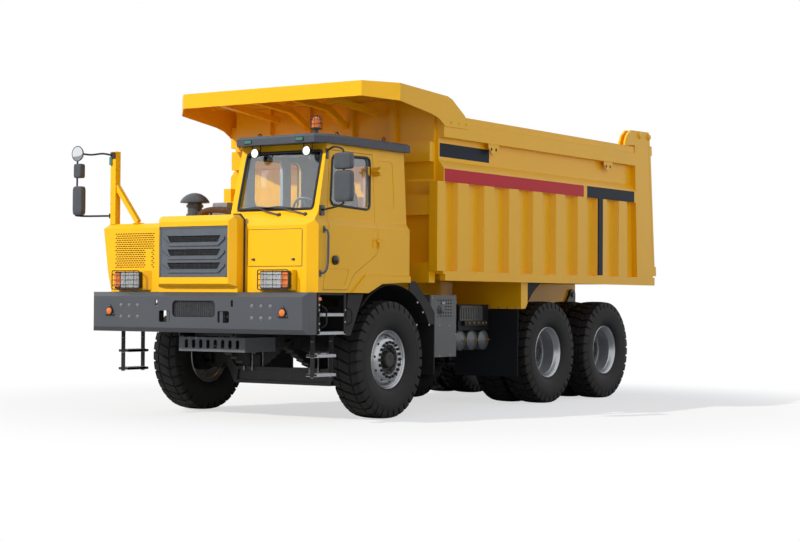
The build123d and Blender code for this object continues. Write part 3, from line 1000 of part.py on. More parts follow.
with BuildPart() as fuel_tank:
    block((FUEL_X[0], FUEL_Y[0], FUEL_Z[0]), (FUEL_X[1], FUEL_Y[1], FUEL_Z[1]))
    fillet(fuel_tank.edges().filter_by(Axis.X), 120)
    # two straps round the tank, each over its bracket
    for strap_x in (FUEL_X[0] + 200, FUEL_X[1] - 200):
        with BuildSketch(Plane.YZ.offset(strap_x - 30)) as strap:
            with Locations(((FUEL_Y[0] + FUEL_Y[1]) / 2, (FUEL_Z[0] + FUEL_Z[1]) / 2)):
                RectangleRounded(FUEL_Y[1] - FUEL_Y[0] + 12, FUEL_Z[1] - FUEL_Z[0] + 12, 126)
        extrude(strap.sketch, amount=60)
        block((strap_x - 50, FUEL_Y[1] - 1, FRAME_BOTTOM + 160),
              (strap_x + 50, -FRAME_OUTER_Y, FRAME_BOTTOM + 310))
finish("fuel_tank", fuel_tank.part)

# Bed floor with side rails, cross ribs, two long beams, pivot ears and hoist ears
BED_BEAM_FRONT_X = BED_FRONT_X - 200.0
CROSS_RIB_COUNT = 10
CROSS_RIB_FIRST_X = BED_FLOOR_FRONT_X - 240.0
CROSS_RIB_PITCH = (CROSS_RIB_FIRST_X - BED_REAR_X - 640) / (CROSS_RIB_COUNT - 1)
WING_X = BED_FRONT_X - 2325.0
WING_PLATE = 12.0
BED_RIB_X = [CROSS_RIB_FIRST_X - index * CROSS_RIB_PITCH for index in range(CROSS_RIB_COUNT)]
# the fourth rib stands over the wings' front plate
BED_RIB_X[3] = WING_X - WING_PLATE / 2
with BuildPart() as bed_floor:
    block((BED_REAR_X, -BED_HALF_WIDTH, BED_RAIL_HIGH - BED_FLOOR_PLATE),
          (BED_FLOOR_FRONT_X, BED_HALF_WIDTH, BED_RAIL_HIGH))
    for side in (1, -1):
        side_block(side, (BED_REAR_X, BED_BEAM_FRONT_X), (BED_HALF_WIDTH - 90, BED_HALF_WIDTH),
                   (BED_RAIL_LOW, BED_RAIL_HIGH - 1))
        low_y, high_y = span(side, FRAME_INNER_Y, FRAME_OUTER_Y - 5)
        slab([(BED_PIVOT_X, BED_PIVOT_Z - 160), (BED_PIVOT_X + 200, BED_BEAM_LOW),
              (BED_BEAM_FRONT_X - 90, BED_BEAM_LOW), (BED_BEAM_FRONT_X, BED_BEAM_LOW + 180),
              (BED_BEAM_FRONT_X, BED_RAIL_HIGH - 1), (BED_PIVOT_X - 160, BED_RAIL_HIGH - 1),
              (BED_PIVOT_X - 160, BED_PIVOT_Z - 40)], low_y, high_y)
        rod((BED_PIVOT_X, low_y - 1, BED_PIVOT_Z), (BED_PIVOT_X, high_y + 1, BED_PIVOT_Z),
            BED_PIVOT_RADIUS + RUNNING_GAP, Mode.SUBTRACT)
        for ear_y in (side * HOIST_Y - 60 - HOIST_EAR, side * HOIST_Y + 60):
            slab([(HOIST_EYE[0] - 140, BED_RAIL_HIGH - 1), (HOIST_EYE[0] - 60, HOIST_EYE[1] - 60),
                  (HOIST_EYE[0] + 60, HOIST_EYE[1] - 60), (HOIST_EYE[0] + 140, BED_RAIL_HIGH - 1)], ear_y,
                 ear_y + HOIST_EAR)
    for rib_x in BED_RIB_X:
        block((rib_x - 50, -BED_HALF_WIDTH + 1, BED_RAIL_LOW + 10), (rib_x + 50, BED_HALF_WIDTH - 1,
              BED_RAIL_HIGH - 1))
finish("bed_floor", bed_floor.part)

# Bed sides
TAILGATE_PIN = (BED_REAR_X + 253.0, BED_TOP + 187.0)
TAILGATE_PIN_RADIUS = 28.0
SIDE_REAR_X = BED_REAR_X + 640.0
POST_OUTLINE = [(SIDE_REAR_X - 15, BED_RAIL_HIGH), (SIDE_REAR_X + 89, BED_TOP + 70),
                (TAILGATE_PIN[0], BED_TOP + 70), (BED_REAR_X + 60, BED_RAIL_HIGH)]
HINGE_PLATE = [(BED_REAR_X + 1069, BED_TOP - 1), (BED_REAR_X + 1069, BED_TOP + 45),
               (BED_REAR_X + 1000, BED_TOP + 160), (BED_REAR_X + 870, BED_TOP + 250),
               (BED_REAR_X + 240, BED_TOP + 265), (BED_REAR_X + 180, TAILGATE_PIN[1]),
               (TAILGATE_PIN[0], BED_TOP + 60)]
HINGE_PLATE_THICK = 30.0


def bed_side(side):
    """Wall with ribs, mid rail, top rail, rear post and tailgate hinge plates."""
    wall = span(side, BED_INNER_Y, BED_WALL_Y)
    full = span(side, BED_INNER_Y, BED_HALF_WIDTH)
    with BuildPart() as piece:
        slab([(SIDE_REAR_X, BED_RAIL_HIGH), (BED_FLOOR_FRONT_X, BED_RAIL_HIGH), (BED_FLOOR_FRONT_X, BED_TOP),
              (SIDE_REAR_X, BED_TOP)], *wall)
        block((BED_FRONT_X - 190, full[0], BED_RAIL_HIGH), (BED_FRONT_X, full[1], BED_MID_LOW + 1))
        # box ribs whose flanks slope out from the wall, so that each bay looks pressed in
        for index in range(RIB_COUNT):
            rib_x = RIB_FIRST_X - index * RIB_PITCH
            plan = [(rib_x - RIB_WIDTH - RIB_SLOPE, BED_WALL_Y - 1), (rib_x - RIB_WIDTH, BED_HALF_WIDTH),
                    (rib_x, BED_HALF_WIDTH), (rib_x + RIB_SLOPE, BED_WALL_Y - 1)]
            plan_slab([(x, side * y) for x, y in plan], BED_RAIL_HIGH, BED_MID_LOW + 1)
        lip_z = BED_TOP - 96
        for rail in ([(BED_WALL_Y - 1, BED_MID_LOW), (BED_HALF_WIDTH, BED_MID_LOW),
                      (BED_HALF_WIDTH, BED_MID_HIGH),
                      (BED_WALL_Y - 1, BED_MID_SLOPE)],
                     [(BED_INNER_Y, BED_TOP_LOW), (BED_HALF_WIDTH, BED_TOP_LOW), (BED_HALF_WIDTH, lip_z),
                      (BED_HALF_WIDTH - 12, lip_z + 6), (BED_HALF_WIDTH - 12, BED_TOP),
                      (BED_INNER_Y, BED_TOP)]):
            cross_slab([(side * y, z) for y, z in rail], SIDE_REAR_X, BED_FLOOR_FRONT_X)
        slab(POST_OUTLINE, *full)
        for plate_y in (BED_HALF_WIDTH - 30, BED_HALF_WIDTH - 120):
            slab(HINGE_PLATE, *span(side, plate_y, plate_y + HINGE_PLATE_THICK))
        for pin_x in (TAILGATE_PIN[0] + 319, TAILGATE_PIN[0]):
            rod((pin_x, side * (BED_HALF_WIDTH - 121), TAILGATE_PIN[1]),
                (pin_x, side * (BED_HALF_WIDTH + 8), TAILGATE_PIN[1]), TAILGATE_PIN_RADIUS)
    return piece.part


finish("bed_side_left", bed_side(1))
finish("bed_side_right", bed_side(-1))

# Front wall of the bed with box beams and upright posts
BED_WALL_LOW = BED_RAIL_LOW - 30.0
WALL_BEAMS = ((0, 265), (886, 1145), (1585, 1843))
WALL_POSTS_Y = (-1050, -360, 360, 1050)
with BuildPart() as bed_front_wall:
    block((BED_FLOOR_FRONT_X, -BED_INNER_Y, BED_WALL_LOW), (BED_FRONT_X - 110, BED_INNER_Y, BED_WALL_TOP))
    for low_z, high_z in WALL_BEAMS:
        block((BED_FRONT_X - 111, -BED_INNER_Y, BED_WALL_LOW + low_z), (BED_FRONT_X - 10, BED_INNER_Y,
              BED_WALL_LOW + high_z))
    for post_y in WALL_POSTS_Y:
        block((BED_FRONT_X - 111, post_y - 45, BED_WALL_LOW + WALL_BEAMS[-1][1] - 1),
              (BED_FRONT_X - 40, post_y + 45, BED_WALL_TOP))
finish("bed_front_wall", bed_front_wall.part)

# Canopy over the cab, bolted to the bed
CANOPY_PLATE = 12.0
CANOPY_ROOF = 18.0
CANOPY_SIDE_Y = BED_HALF_WIDTH + CANOPY_PLATE
CANOPY_NOSE_Y = CANOPY_SIDE_Y - 341.0
CANOPY_CORNER_X = BED_FRONT_X + 892.0
CANOPY_REAR_X = BED_FRONT_X - 741.0
# roof line from the front edge to the rear, as (X from the bed's front, height over the bed's top rail)
ROOF_LINE = ((1270, 314), (-217, 238), (-327, 207), (-639, 20))
SIDE_LOWER_LINE = ((-741, -74), (-719, -153), (-168, -159), (-5, -68), (164, -26), (1270, 122))


def canopy_plan(inset):
    """Plan of the canopy, set in by a plate's thickness."""
    side_y = CANOPY_SIDE_Y - inset
    nose_y = CANOPY_NOSE_Y - inset / 2
    front_x = CANOPY_FRONT_X - inset * 1.17
    corner_x = CANOPY_CORNER_X - inset * 0.42
    rear_x = CANOPY_REAR_X - 49 - inset * 8
    return [(rear_x, -side_y), (corner_x, -side_y), (front_x, -nose_y), (front_x, nose_y), (corner_x, side_y),
            (rear_x, side_y)]


with BuildPart() as canopy:
    roof = [(BED_FRONT_X + x, BED_TOP + z) for x, z in ROOF_LINE]
    side_line = [(BED_FRONT_X + x, BED_TOP + z) for x, z in SIDE_LOWER_LINE]
    plan_slab(canopy_plan(0), BED_TOP - 230, BED_TOP + 370)
    plan_slab(canopy_plan(CANOPY_PLATE), BED_TOP - 231, BED_TOP + 371, Mode.SUBTRACT)
    slab(roof + side_line, -CANOPY_SIDE_Y - 10, CANOPY_SIDE_Y + 10, Mode.INTERSECT)
with BuildPart() as canopy_roof:
    slab(roof + [(x, z - CANOPY_ROOF) for x, z in reversed(roof)], -BED_HALF_WIDTH - 1, BED_HALF_WIDTH + 1)
    plan_slab(canopy_plan(0), BED_TOP - 230, BED_TOP + 370, Mode.INTERSECT)
with BuildPart() as canopy_whole:
    add(canopy.part)
    add(canopy_roof.part)
finish("canopy", canopy_whole.part)

# Wings and flaps under the bed, in front of the driven wheels
WING_LOW = FRAME_TOP - 19.0
WING_SIDE_Y = BED_WALL_Y - 5.0
with BuildPart() as bed_wings:
    for side in (1, -1):
        side_block(side, (WING_X - WING_PLATE, WING_X), (FRAME_OUTER_Y + 100, WING_SIDE_Y),
                   (WING_LOW, BED_RAIL_LOW + 10))
        # side cheek, its rear edge hollowed over the tyre
        with BuildSketch(Plane.XZ.offset(-min(side * WING_SIDE_Y,
                                              side * (WING_SIDE_Y - WING_PLATE)))) as cheek:
            with BuildLine():
                Line((WING_X - 1, WING_LOW), (WING_X - 1, BED_RAIL_LOW + 10))
                Line((WING_X - 1, BED_RAIL_LOW + 10), (WING_X - 595, BED_RAIL_LOW + 10))
                ThreePointArc((WING_X - 595, BED_RAIL_LOW + 10), (WING_X - 300, WING_LOW + 200),
                              (WING_X - 125, WING_LOW + 5))
                Line((WING_X - 125, WING_LOW + 5), (WING_X - 1, WING_LOW))
            make_face()
        extrude(cheek.sketch, amount=-WING_PLATE)
        side_block(side, (WING_X - 25, WING_X - WING_PLATE), (FRAME_OUTER_Y + 140, WING_SIDE_Y - 60),
                   (AXLE_Z - 325, WING_LOW + 69))
finish("bed_wings", bed_wings.part)

# Tailgate, hung from its top pins: a box plate with stiffeners on its rear face
GATE_TOP = BED_TOP + 50.0
GATE_LOW = BED_RAIL_HIGH + 25.0
GATE_HALF = BED_HALF_WIDTH - 4.0
GATE_DEPTH = 115.0
GATE_RIBS_Y = (-1350, -675, 0, 675, 1350)
with BuildPart() as tailgate:
    top_x = TAILGATE_PIN[0] - 18
    low_x = BED_REAR_X + 50
    thick = GATE_DEPTH - 45
    slab([(top_x, GATE_TOP), (low_x, GATE_LOW), (low_x - thick, GATE_LOW), (top_x - thick, GATE_TOP)],
         -GATE_HALF, GATE_HALF)
    for rib_y in GATE_RIBS_Y:
        slab([(top_x - thick + 1, GATE_TOP - 60), (low_x - thick + 1, GATE_LOW + 60),
              (low_x - GATE_DEPTH, GATE_LOW + 110),
              (top_x - GATE_DEPTH, GATE_TOP - 110)], rib_y - 70, rib_y + 70)
    for rail_low, rail_high in ((GATE_LOW, GATE_LOW + 150), (GATE_TOP - 150, GATE_TOP)):
        slope = (top_x - low_x) / (GATE_TOP - GATE_LOW)
        outline = []
        for z in (rail_low, rail_high):
            face_x = low_x - thick + slope * (z - GATE_LOW)
            outline += [(face_x + 1, z), (face_x - 45, z)] if z == rail_low else [(face_x - 45, z),
                                                                                  (face_x + 1, z)]
        slab(outline, -GATE_HALF, GATE_HALF)
    pin_x, pin_z = TAILGATE_PIN
    for side in (1, -1):
        low_y, high_y = span(side, BED_HALF_WIDTH - 85, BED_HALF_WIDTH - 35)
        slab([(pin_x + 57, pin_z), (pin_x, pin_z - 57), (top_x, GATE_TOP - 1),
              (top_x - thick - 45, GATE_TOP - 1),
              (pin_x - 123, pin_z + 33), (pin_x - 33, pin_z + 73), (pin_x + 47, pin_z + 53)], low_y, high_y)
        rod((pin_x, low_y - 1, pin_z), (pin_x, high_y + 1, pin_z), TAILGATE_PIN_RADIUS + RUNNING_GAP,
            Mode.SUBTRACT)
finish("tailgate", tailgate.part)

# Telescopic hoists: barrel, two stages and rod, side by side in pairs
HOIST_LENGTH = hypot(HOIST_EYE[0] - HOIST_BASE[0], HOIST_EYE[1] - HOIST_BASE[1])
HOIST_UP = Vector(HOIST_EYE[0] - HOIST_BASE[0], 0, HOIST_EYE[1] - HOIST_BASE[1]).normalized()
HOIST_BOTTOM = 15.0
HOIST_PIN_RADIUS = 35.0


def hoist_stage(start, end, outer, inner):
    """One tube of both hoists, from start to end along the hoist, measured from its base pin."""
    with BuildPart() as piece:
        for side in (1, -1):
            base = Vector(HOIST_BASE[0], side * HOIST_Y, HOIST_BASE[1])
            rod(tuple(base + HOIST_UP * start), tuple(base + HOIST_UP * end), outer)
            if inner:
                rod(tuple(base + HOIST_UP * (start + HOIST_BOTTOM)), tuple(base + HOIST_UP * (end + 1)),
                    inner,
                    Mode.SUBTRACT)
    return piece.part


def cross_rod(place, middle_y, half, radius, mode=Mode.ADD):
    """Round bar across the machine through an X-Z place, added to the open part."""
    rod((place[0], middle_y - half, place[1]), (place[0], middle_y + half, place[1]), radius, mode)


with BuildPart() as hoist_barrel:
    add(hoist_stage(60, 1010, 95, 80))
    for side in (1, -1):
        cross_rod(HOIST_BASE, side * HOIST_Y, 100, 75)
        cross_rod(HOIST_BASE, side * HOIST_Y, 101, HOIST_PIN_RADIUS + RUNNING_GAP, Mode.SUBTRACT)
finish("hoist_barrel", hoist_barrel.part)
finish("hoist_stage_outer", hoist_stage(76, 1030, 79.4, 66))
finish("hoist_stage_inner", hoist_stage(92, 1045, 65.4, 52))
with BuildPart() as hoist_rod:
    add(hoist_stage(108, HOIST_LENGTH - 30, 51.4, 0))
    for side in (1, -1):
        cross_rod(HOIST_EYE, side * HOIST_Y, 40, 60)
finish("hoist_rod", hoist_rod.part)
with BuildPart() as hoist_mount:
    cross_rod(HOIST_BASE, 0, FRAME_INNER_Y - 2, HOIST_PIN_RADIUS)
    for side in (1, -1):
        for plate_y in (side * HOIST_Y - 126, side * HOIST_Y + 101):
            slab([(HOIST_BASE[0] - 60, HOIST_BASE[1] - 70), (HOIST_BASE[0] + 60, HOIST_BASE[1] - 70),
                  (HOIST_BASE[0] + 400, CROSS_MEMBER_LOW), (HOIST_BASE[0] + 280, CROSS_MEMBER_LOW)], plate_y,
                 plate_y + 25)
finish("hoist_mount", hoist_mount.part)
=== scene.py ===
import math

import bmesh
import bpy
import numpy as np
from mathutils import Matrix, Vector


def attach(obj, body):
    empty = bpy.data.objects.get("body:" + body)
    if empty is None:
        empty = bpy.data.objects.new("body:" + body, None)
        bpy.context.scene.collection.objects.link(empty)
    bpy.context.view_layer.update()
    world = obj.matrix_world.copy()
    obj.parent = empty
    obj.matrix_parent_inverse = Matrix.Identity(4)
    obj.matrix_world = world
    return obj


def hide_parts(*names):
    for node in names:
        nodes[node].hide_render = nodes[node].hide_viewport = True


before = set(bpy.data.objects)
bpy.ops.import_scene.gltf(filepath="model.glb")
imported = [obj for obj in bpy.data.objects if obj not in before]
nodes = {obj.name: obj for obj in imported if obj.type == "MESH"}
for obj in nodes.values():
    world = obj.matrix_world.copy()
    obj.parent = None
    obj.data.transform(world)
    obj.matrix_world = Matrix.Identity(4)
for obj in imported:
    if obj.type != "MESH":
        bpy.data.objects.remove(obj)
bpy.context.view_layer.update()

scene = bpy.context.scene

# Camera, floor, sky and sun
# The photograph was taken from about 25 m away at chest height with a long lens. Its place, turn and
# lens were worked out from the wheels' outlines, so the picture and the model share one frame.
EYE = (20.6663, 13.9501, 1.5003)
yaw, pitch, roll = (math.radians(a) for a in (34.1379, 0.9717, 0.3683))
forward = Vector((-math.cos(pitch) * math.cos(yaw), -math.cos(pitch) * math.sin(yaw), math.sin(pitch)))
right = forward.cross(Vector((0, 0, 1))).normalized()
up = right.cross(forward)
side = right * math.cos(roll) + up * math.sin(roll)
top = up * math.cos(roll) - right * math.sin(roll)
camera_data = bpy.data.cameras.new("camera")
camera_data.sensor_width = 36.0
camera_data.lens = 77.588
camera_data.clip_end = 400.0
camera = bpy.data.objects.new("camera", camera_data)
camera.matrix_world = Matrix((side, top, -forward)).transposed().to_4x4()
camera.matrix_world.translation = EYE
scene.collection.objects.link(camera)
scene.camera = camera
scene.view_settings.view_transform = "Standard"


def linear(text):
    """'#rrggbb' as written on screen, turned into linear red, green, blue and alpha."""
    value = np.array([int(text[i:i + 2], 16) for i in (1, 3, 5)]) / 255
    value = np.where(value <= 0.04045, value / 12.92, ((value + 0.055) / 1.055) ** 2.4)
    return (*value.tolist(), 1.0)


def add(tree, kind, inputs=None, **settings):
    """Adds a node to a tree. settings are its properties; inputs maps a socket to a value or to an output."""
    new = tree.nodes.new(kind)
    for key, value in settings.items():
        setattr(new, key, value)
    for key, value in (inputs or {}).items():
        if isinstance(value, bpy.types.NodeSocket):
            tree.links.new(value, new.inputs[key])
        else:
            new.inputs[key].default_value = value
    return new


def grid_faces(rows, columns, closed):
    """Corner numbers of the quads between neighbouring rows and columns; closed joins the last column to the
    first."""
    i, j = np.meshgrid(np.arange(rows - 1), np.arange(columns if closed else columns - 1), indexing="ij")
    k = (j + 1) % columns
    return np.stack([i * columns + j, i * columns + k, (i + 1) * columns + k, (i + 1) * columns + j],
                    -1).reshape(-1, 4)


def mesh_of(name, verts, faces):
    """A mesh object from one array of points and a list of faces."""
    data = bpy.data.meshes.new(name)
    data.from_pydata(np.asarray(verts, float).tolist(), [], [list(map(int, f)) for f in faces])
    made = bpy.data.objects.new(name, data)
    scene.collection.objects.link(made)
    return made


# a pale dull sheet that takes the truck's shadow and turns to the white of the backdrop 4.5 to 8.5 m away
floor = mesh_of("floor", [(-60, -60, 0), (60, -60, 0), (60, 60, 0), (-60, 60, 0)], [(0, 1, 2, 3)])
ground = bpy.data.materials.new("floor")
ground.use_nodes = True
tree = ground.node_tree
tree.nodes.clear()
place = add(tree, "ShaderNodeTexCoord")
away = add(tree, "ShaderNodeVectorMath", {0: place.outputs["Object"]}, operation="LENGTH")
fade = add(tree, "ShaderNodeMapRange", {"Value": away.outputs["Value"], "From Min": 4.5, "From Max": 8.5,
                                        "To Min": 0.62, "To Max": 1.0}, interpolation_type="SMOOTHSTEP")
ray = add(tree, "ShaderNodeLightPath")
seen = add(tree, "ShaderNodeMath", {0: fade.outputs["Result"], 1: ray.outputs["Is Camera Ray"]},
           operation="MULTIPLY")
tone = add(tree, "ShaderNodeMapRange",
           {"Value": ray.outputs["Is Camera Ray"], "To Min": 0.42, "To Max": 0.85})
paper = add(tree, "ShaderNodeBsdfDiffuse", {"Color": tone.outputs[0]})
glow = add(tree, "ShaderNodeEmission", {"Color": (1, 1, 1, 1), "Strength": 1.0})
mixed = add(tree, "ShaderNodeMixShader", {0: seen.outputs[0], 1: paper.outputs[0], 2: glow.outputs[0]})
add(tree, "ShaderNodeOutputMaterial", {"Surface": mixed.outputs[0]})
floor.data.materials.append(ground)

# a hazy sky lights dull faces; the camera, mirrors and glass see plain white
world = bpy.data.worlds.new("sky")
scene.world = world
world.use_nodes = True
tree = world.node_tree
tree.nodes.clear()
ray = add(tree, "ShaderNodeLightPath")
clear = add(tree, "ShaderNodeMath", {0: ray.outputs["Is Camera Ray"], 1: ray.outputs["Is Transmission Ray"]},
            operation="MAXIMUM")
clear = add(tree, "ShaderNodeMath", {0: clear.outputs[0], 1: ray.outputs["Is Glossy Ray"]},
            operation="MAXIMUM")
direction = add(tree, "ShaderNodeTexCoord")
height = add(tree, "ShaderNodeSeparateXYZ", {0: direction.outputs["Generated"]})
sky = add(tree, "ShaderNodeValToRGB", {0: height.outputs["Z"]})
ramp = sky.color_ramp
ramp.elements[0].position = 0.0
ramp.elements[0].color = (0.62, 0.60, 0.56, 1)
ramp.elements[1].position = 0.75
ramp.elements[1].color = (0.46, 0.56, 0.74, 1)
daylight = add(tree, "ShaderNodeBackground", {"Color": sky.outputs["Color"], "Strength": 0.66})
white = add(tree, "ShaderNodeBackground", {"Color": (1, 1, 1, 1), "Strength": 1.0})
mixed = add(tree, "ShaderNodeMixShader", {0: clear.outputs[0], 1: daylight.outputs[0], 2: white.outputs[0]})
add(tree, "ShaderNodeOutputWorld", {"Surface": mixed.outputs[0]})

# sun from the front right and a wide fill from the left; neither shows in mirrors, where a low sun's glare
# would burn out dull faces seen edge on
for lamp_name, strength, spread, colour, aim in (
        ("sun", 3.35, 0.02, (1.0, 0.96, 0.88), (-0.86, 0.38, -0.62)),
        ("side_fill", 0.57, 0.9, (1.0, 0.91, 0.82), (-0.25, -0.95, -0.35))):
    lamp_data = bpy.data.lights.new(lamp_name, "SUN")
    lamp_data.energy = strength
    lamp_data.angle = spread
    lamp_data.color = colour
    lamp = bpy.data.objects.new(lamp_name, lamp_data)
    lamp.rotation_euler = Vector(aim).to_track_quat("-Z", "Y").to_euler()
    lamp.visible_glossy = False
    scene.collection.objects.link(lamp)

# Tyres
# Radial rock tyres for dump trucks, 1.49 m across: black natural rubber with a deep block tread whose
# grooves run to the shoulder, and a smooth moulded sidewall that closes on the rim's flange.


def material(name, colour, roughness, metallic=0.0, coat=0.0, ior=1.5, spread=0.0, spread_mm=400.0, bump=0.0,
             bump_mm=2.0, edge=0.0, dust=0.0, dust_colour="#8a7a60", top_z=1.0):
    """Opaque surface. spread: how far patches of spread_mm differ in tone; bump: height in mm of grain of
    bump_mm; edge: radius in m by which sharp corners are rounded in shading; dust: cover below top_z."""
    made = bpy.data.materials.new(name)
    made.use_nodes = True
    tree = made.node_tree
    shader = tree.nodes["Principled BSDF"]
    shader.inputs["Roughness"].default_value = roughness
    shader.inputs["Metallic"].default_value = metallic
    shader.inputs["IOR"].default_value = ior
    shader.inputs["Coat Weight"].default_value = coat
    shader.inputs["Coat Roughness"].default_value = 0.06
    where = add(tree, "ShaderNodeTexCoord").outputs["Object"]
    patches = add(tree, "ShaderNodeTexNoise", {"Vector": where, "Scale": 1000.0 / spread_mm, "Detail": 4.0})
    tone = add(tree, "ShaderNodeMapRange", {"Value": patches.outputs["Fac"], "From Min": 0.3, "From Max": 0.7,
                                            "To Min": 1 - spread, "To Max": 1 + spread})
    base = add(tree, "ShaderNodeVectorMath", {0: linear(colour)[:3], "Scale": tone.outputs["Result"]},
               operation="SCALE").outputs[0]
    grain = add(tree, "ShaderNodeTexNoise", {"Vector": where, "Scale": 1000.0 / bump_mm, "Detail": 3.0})
    if dust:
        low = add(tree, "ShaderNodeSeparateXYZ", {0: where})
        fall = add(tree, "ShaderNodeMapRange", {"Value": low.outputs["Z"], "From Min": 0.0, "From Max": top_z,
                                                "To Min": dust, "To Max": dust * 0.25})
        cover = add(tree, "ShaderNodeMath", {0: fall.outputs["Result"], 1: patches.outputs["Fac"]},
                    operation="MULTIPLY")
        base = add(tree, "ShaderNodeMix", {0: cover.outputs[0], 6: base, 7: linear(dust_colour)},
                   data_type="RGBA").outputs[2]
    tree.links.new(base, shader.inputs["Base Color"])
    relief = {"Height": grain.outputs["Fac"], "Distance": bump / 1000.0, "Strength": 1.0 if bump else 0.0}
    if edge:
        relief["Normal"] = add(tree, "ShaderNodeBevel", {"Radius": edge}, samples=4).outputs[0]
    tree.links.new(add(tree, "ShaderNodeBump", relief).outputs[0], shader.inputs["Normal"])
    return made


def piece(name, body, materials, shapes, bevel=0.0, smooth=True, stands_for=()):
    """One mesh from several shapes, riding on a body.

    A shape is (points, cap, material number). points[i, j] is the place at row i and column j of a tube-like
    grid whose columns close on themselves; cap closes the first and last row with one face each.
    """
    verts, faces, numbers, start = [], [], [], 0
    for points, cap, number in shapes:
        rows, columns = points.shape[:2]
        found = (grid_faces(rows, columns, True) + start).tolist()
        if cap:
            found += [list(range(start, start + columns)),
                      list(range(start + rows * columns - 1, start + (rows - 1) * columns - 1, -1))]
        verts.append(points.reshape(-1, 3))
        faces += found
        numbers += [number] * len(found)
        start += rows * columns
    made = mesh_of(name, np.concatenate(verts), faces)
    for each in materials:
        made.data.materials.append(each)
    made.data.polygons.foreach_set("material_index", numbers)
    shell = bmesh.new()
    shell.from_mesh(made.data)
    bmesh.ops.recalc_face_normals(shell, faces=shell.faces)
    shell.to_mesh(made.data)
    shell.free()
    if smooth:
        made.data.shade_smooth()
        made.data.set_sharp_from_angle(angle=math.radians(35))
    if bevel:
        rounding = made.modifiers.new("rounding", "BEVEL")
        rounding.width = bevel
        rounding.segments = 2
        rounding.limit_method = "ANGLE"
        rounding.angle_limit = math.radians(40)
        rounding.harden_normals = True
    if stands_for:
        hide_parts(*stands_for)
    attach(made, body)
    return made


def lathe(profile, centre, axis="Y", count=64, cap=False, number=0):
    """Profile of (along, radius) pairs turned about an axis through centre: angle runs along the columns."""
    profile = np.asarray(profile, float)
    angle = np.linspace(0, 2 * np.pi, count, endpoint=False)
    along = np.repeat(profile[:, :1], count, 1)
    first = profile[:, 1:] * np.cos(angle)
    second = profile[:, 1:] * np.sin(angle)
    order = {"X": (along, first, second), "Y": (first, along, second), "Z": (first, second, along)}[axis]
    return np.stack(order, -1) + np.asarray(centre, float), cap, number


# natural rubber, moulded and cured: near black and dull, greyer with dust towards the ground
RUBBER = material("tyre_rubber", "#121315", 0.68, ior=1.45, spread=0.12, spread_mm=120, bump=0.35, bump_mm=5,
                  dust=0.10, dust_colour="#6a6255", top_z=1.5)
TYRE_RADIUS = 0.745
LUGS = 34
# section from outer bead over the tread to inner bead: across, radius, groove depth at that place
SECTION = np.array([(0.146, 0.345, 0), (0.150, 0.378, 0), (0.172, 0.392, 0), (0.192, 0.420, 0),
                    (0.206, 0.470, 0), (0.2135, 0.530, 0), (0.2145, 0.565, 0), (0.2145, 0.585, 0),
                    (0.2125, 0.620, 0), (0.2100, 0.635, 0.002), (0.2080, 0.645, 0.012),
                    (0.2055, 0.668, 0.022), (0.2015, 0.700, 0.032), (0.196, 0.722, 0.034),
                    (0.188, 0.733, 0.034), (0.150, 0.739, 0.034), (0.100, 0.743, 0.032),
                    (0.088, 0.7435, 0.032), (0.078, 0.7438, 0.030), (0.030, 0.745, 0.028),
                    (0.0, 0.745, 0.028)])
SECTION = np.vstack([SECTION, (SECTION * (-1, 1, 1))[-2::-1]])


def tyre_points(x, y, turn):
    """Tyre surface over section position i and angle j. Each lug has five columns, two at each groove wall,
    so that the walls stay steep; a groove lowers the surface by the section's groove depth, straight inwards
    at the shoulder and towards the axle on the tread. The grooves lean with the place across, and the two
    halves are half a lug apart, joined by a shallow zigzag groove in the middle."""
    across, radius, depth = SECTION.T
    phase = (np.arange(LUGS)[:, None] + [0.0, 0.035, 0.205, 0.245, 0.62]).ravel() / LUGS
    groove = np.tile([0.0, 1.0, 1.0, 0.0, 0.0], LUGS)
    lean = 0.42 * np.abs(across) / 0.2 + np.where(across < 0, 0.5, 0.0)
    lean = np.where(np.abs(across) < 0.085, 0.5 * (0.085 - across) / 0.17 + 0.18, lean)
    angle = 2 * np.pi * (phase[None] + lean[:, None] / LUGS) + turn
    cut = groove[None] * depth[:, None]
    middle = np.where(np.abs(np.abs(across) - 0.088) < 0.004, 0.020, 0.0)[:, None]
    cut = np.maximum(cut, middle)
    side_share = np.clip((np.abs(across) - 0.19) / 0.012, 0, 1)[:, None]
    reach = radius[:, None] - cut * (1 - side_share)
    out = across[:, None] - np.sign(across[:, None]) * cut * side_share * 0.75
    return np.stack([x + reach * np.cos(angle), y + out + 0 * angle, TYRE_RADIUS + reach * np.sin(angle)], -1)


def sidewall_ring(x, y, sign, radius=0.592, face=0.2148):
    """Thin raised ring on the side wall, where a tyre's size would be written."""
    return lathe([(sign * (face - 0.006), radius - 0.005), (sign * (face + 0.0012), radius - 0.0035),
                  (sign * (face + 0.0012), radius + 0.0035), (sign * (face - 0.006), radius + 0.005)],
                 (x, y, TYRE_RADIUS), count=96)


SIDES = ((1, "left"), (-1, "right"))
# axle, its X, the tyres' Y, the tyres' node and their body; the twin wheels share a hub between them
TWIN_Y, TWIN_HUB_Y = (1.395, 0.905), 1.150
WHEELS = [("front", 2.75, (1.470,), "tyre_front", "wheel_front"),
          ("mid", -1.49, TWIN_Y, "tyres_mid", "wheels_mid"),
          ("rear", -3.265, TWIN_Y, "tyres_rear", "wheels_rear")]
for axle, axle_x, places, node, body in WHEELS:
    for sign, side_name in SIDES:
        shapes = []
        for place_y in places:
            shapes += [(tyre_points(axle_x, sign * place_y, 0.3 * axle_x + place_y), False, 0),
                       sidewall_ring(axle_x, sign * place_y, sign)]
        piece(f"tread_{axle}_{side_name}", f"{body}_{side_name}", [RUBBER], shapes,
              stands_for=[f"{node}_{side_name}"])


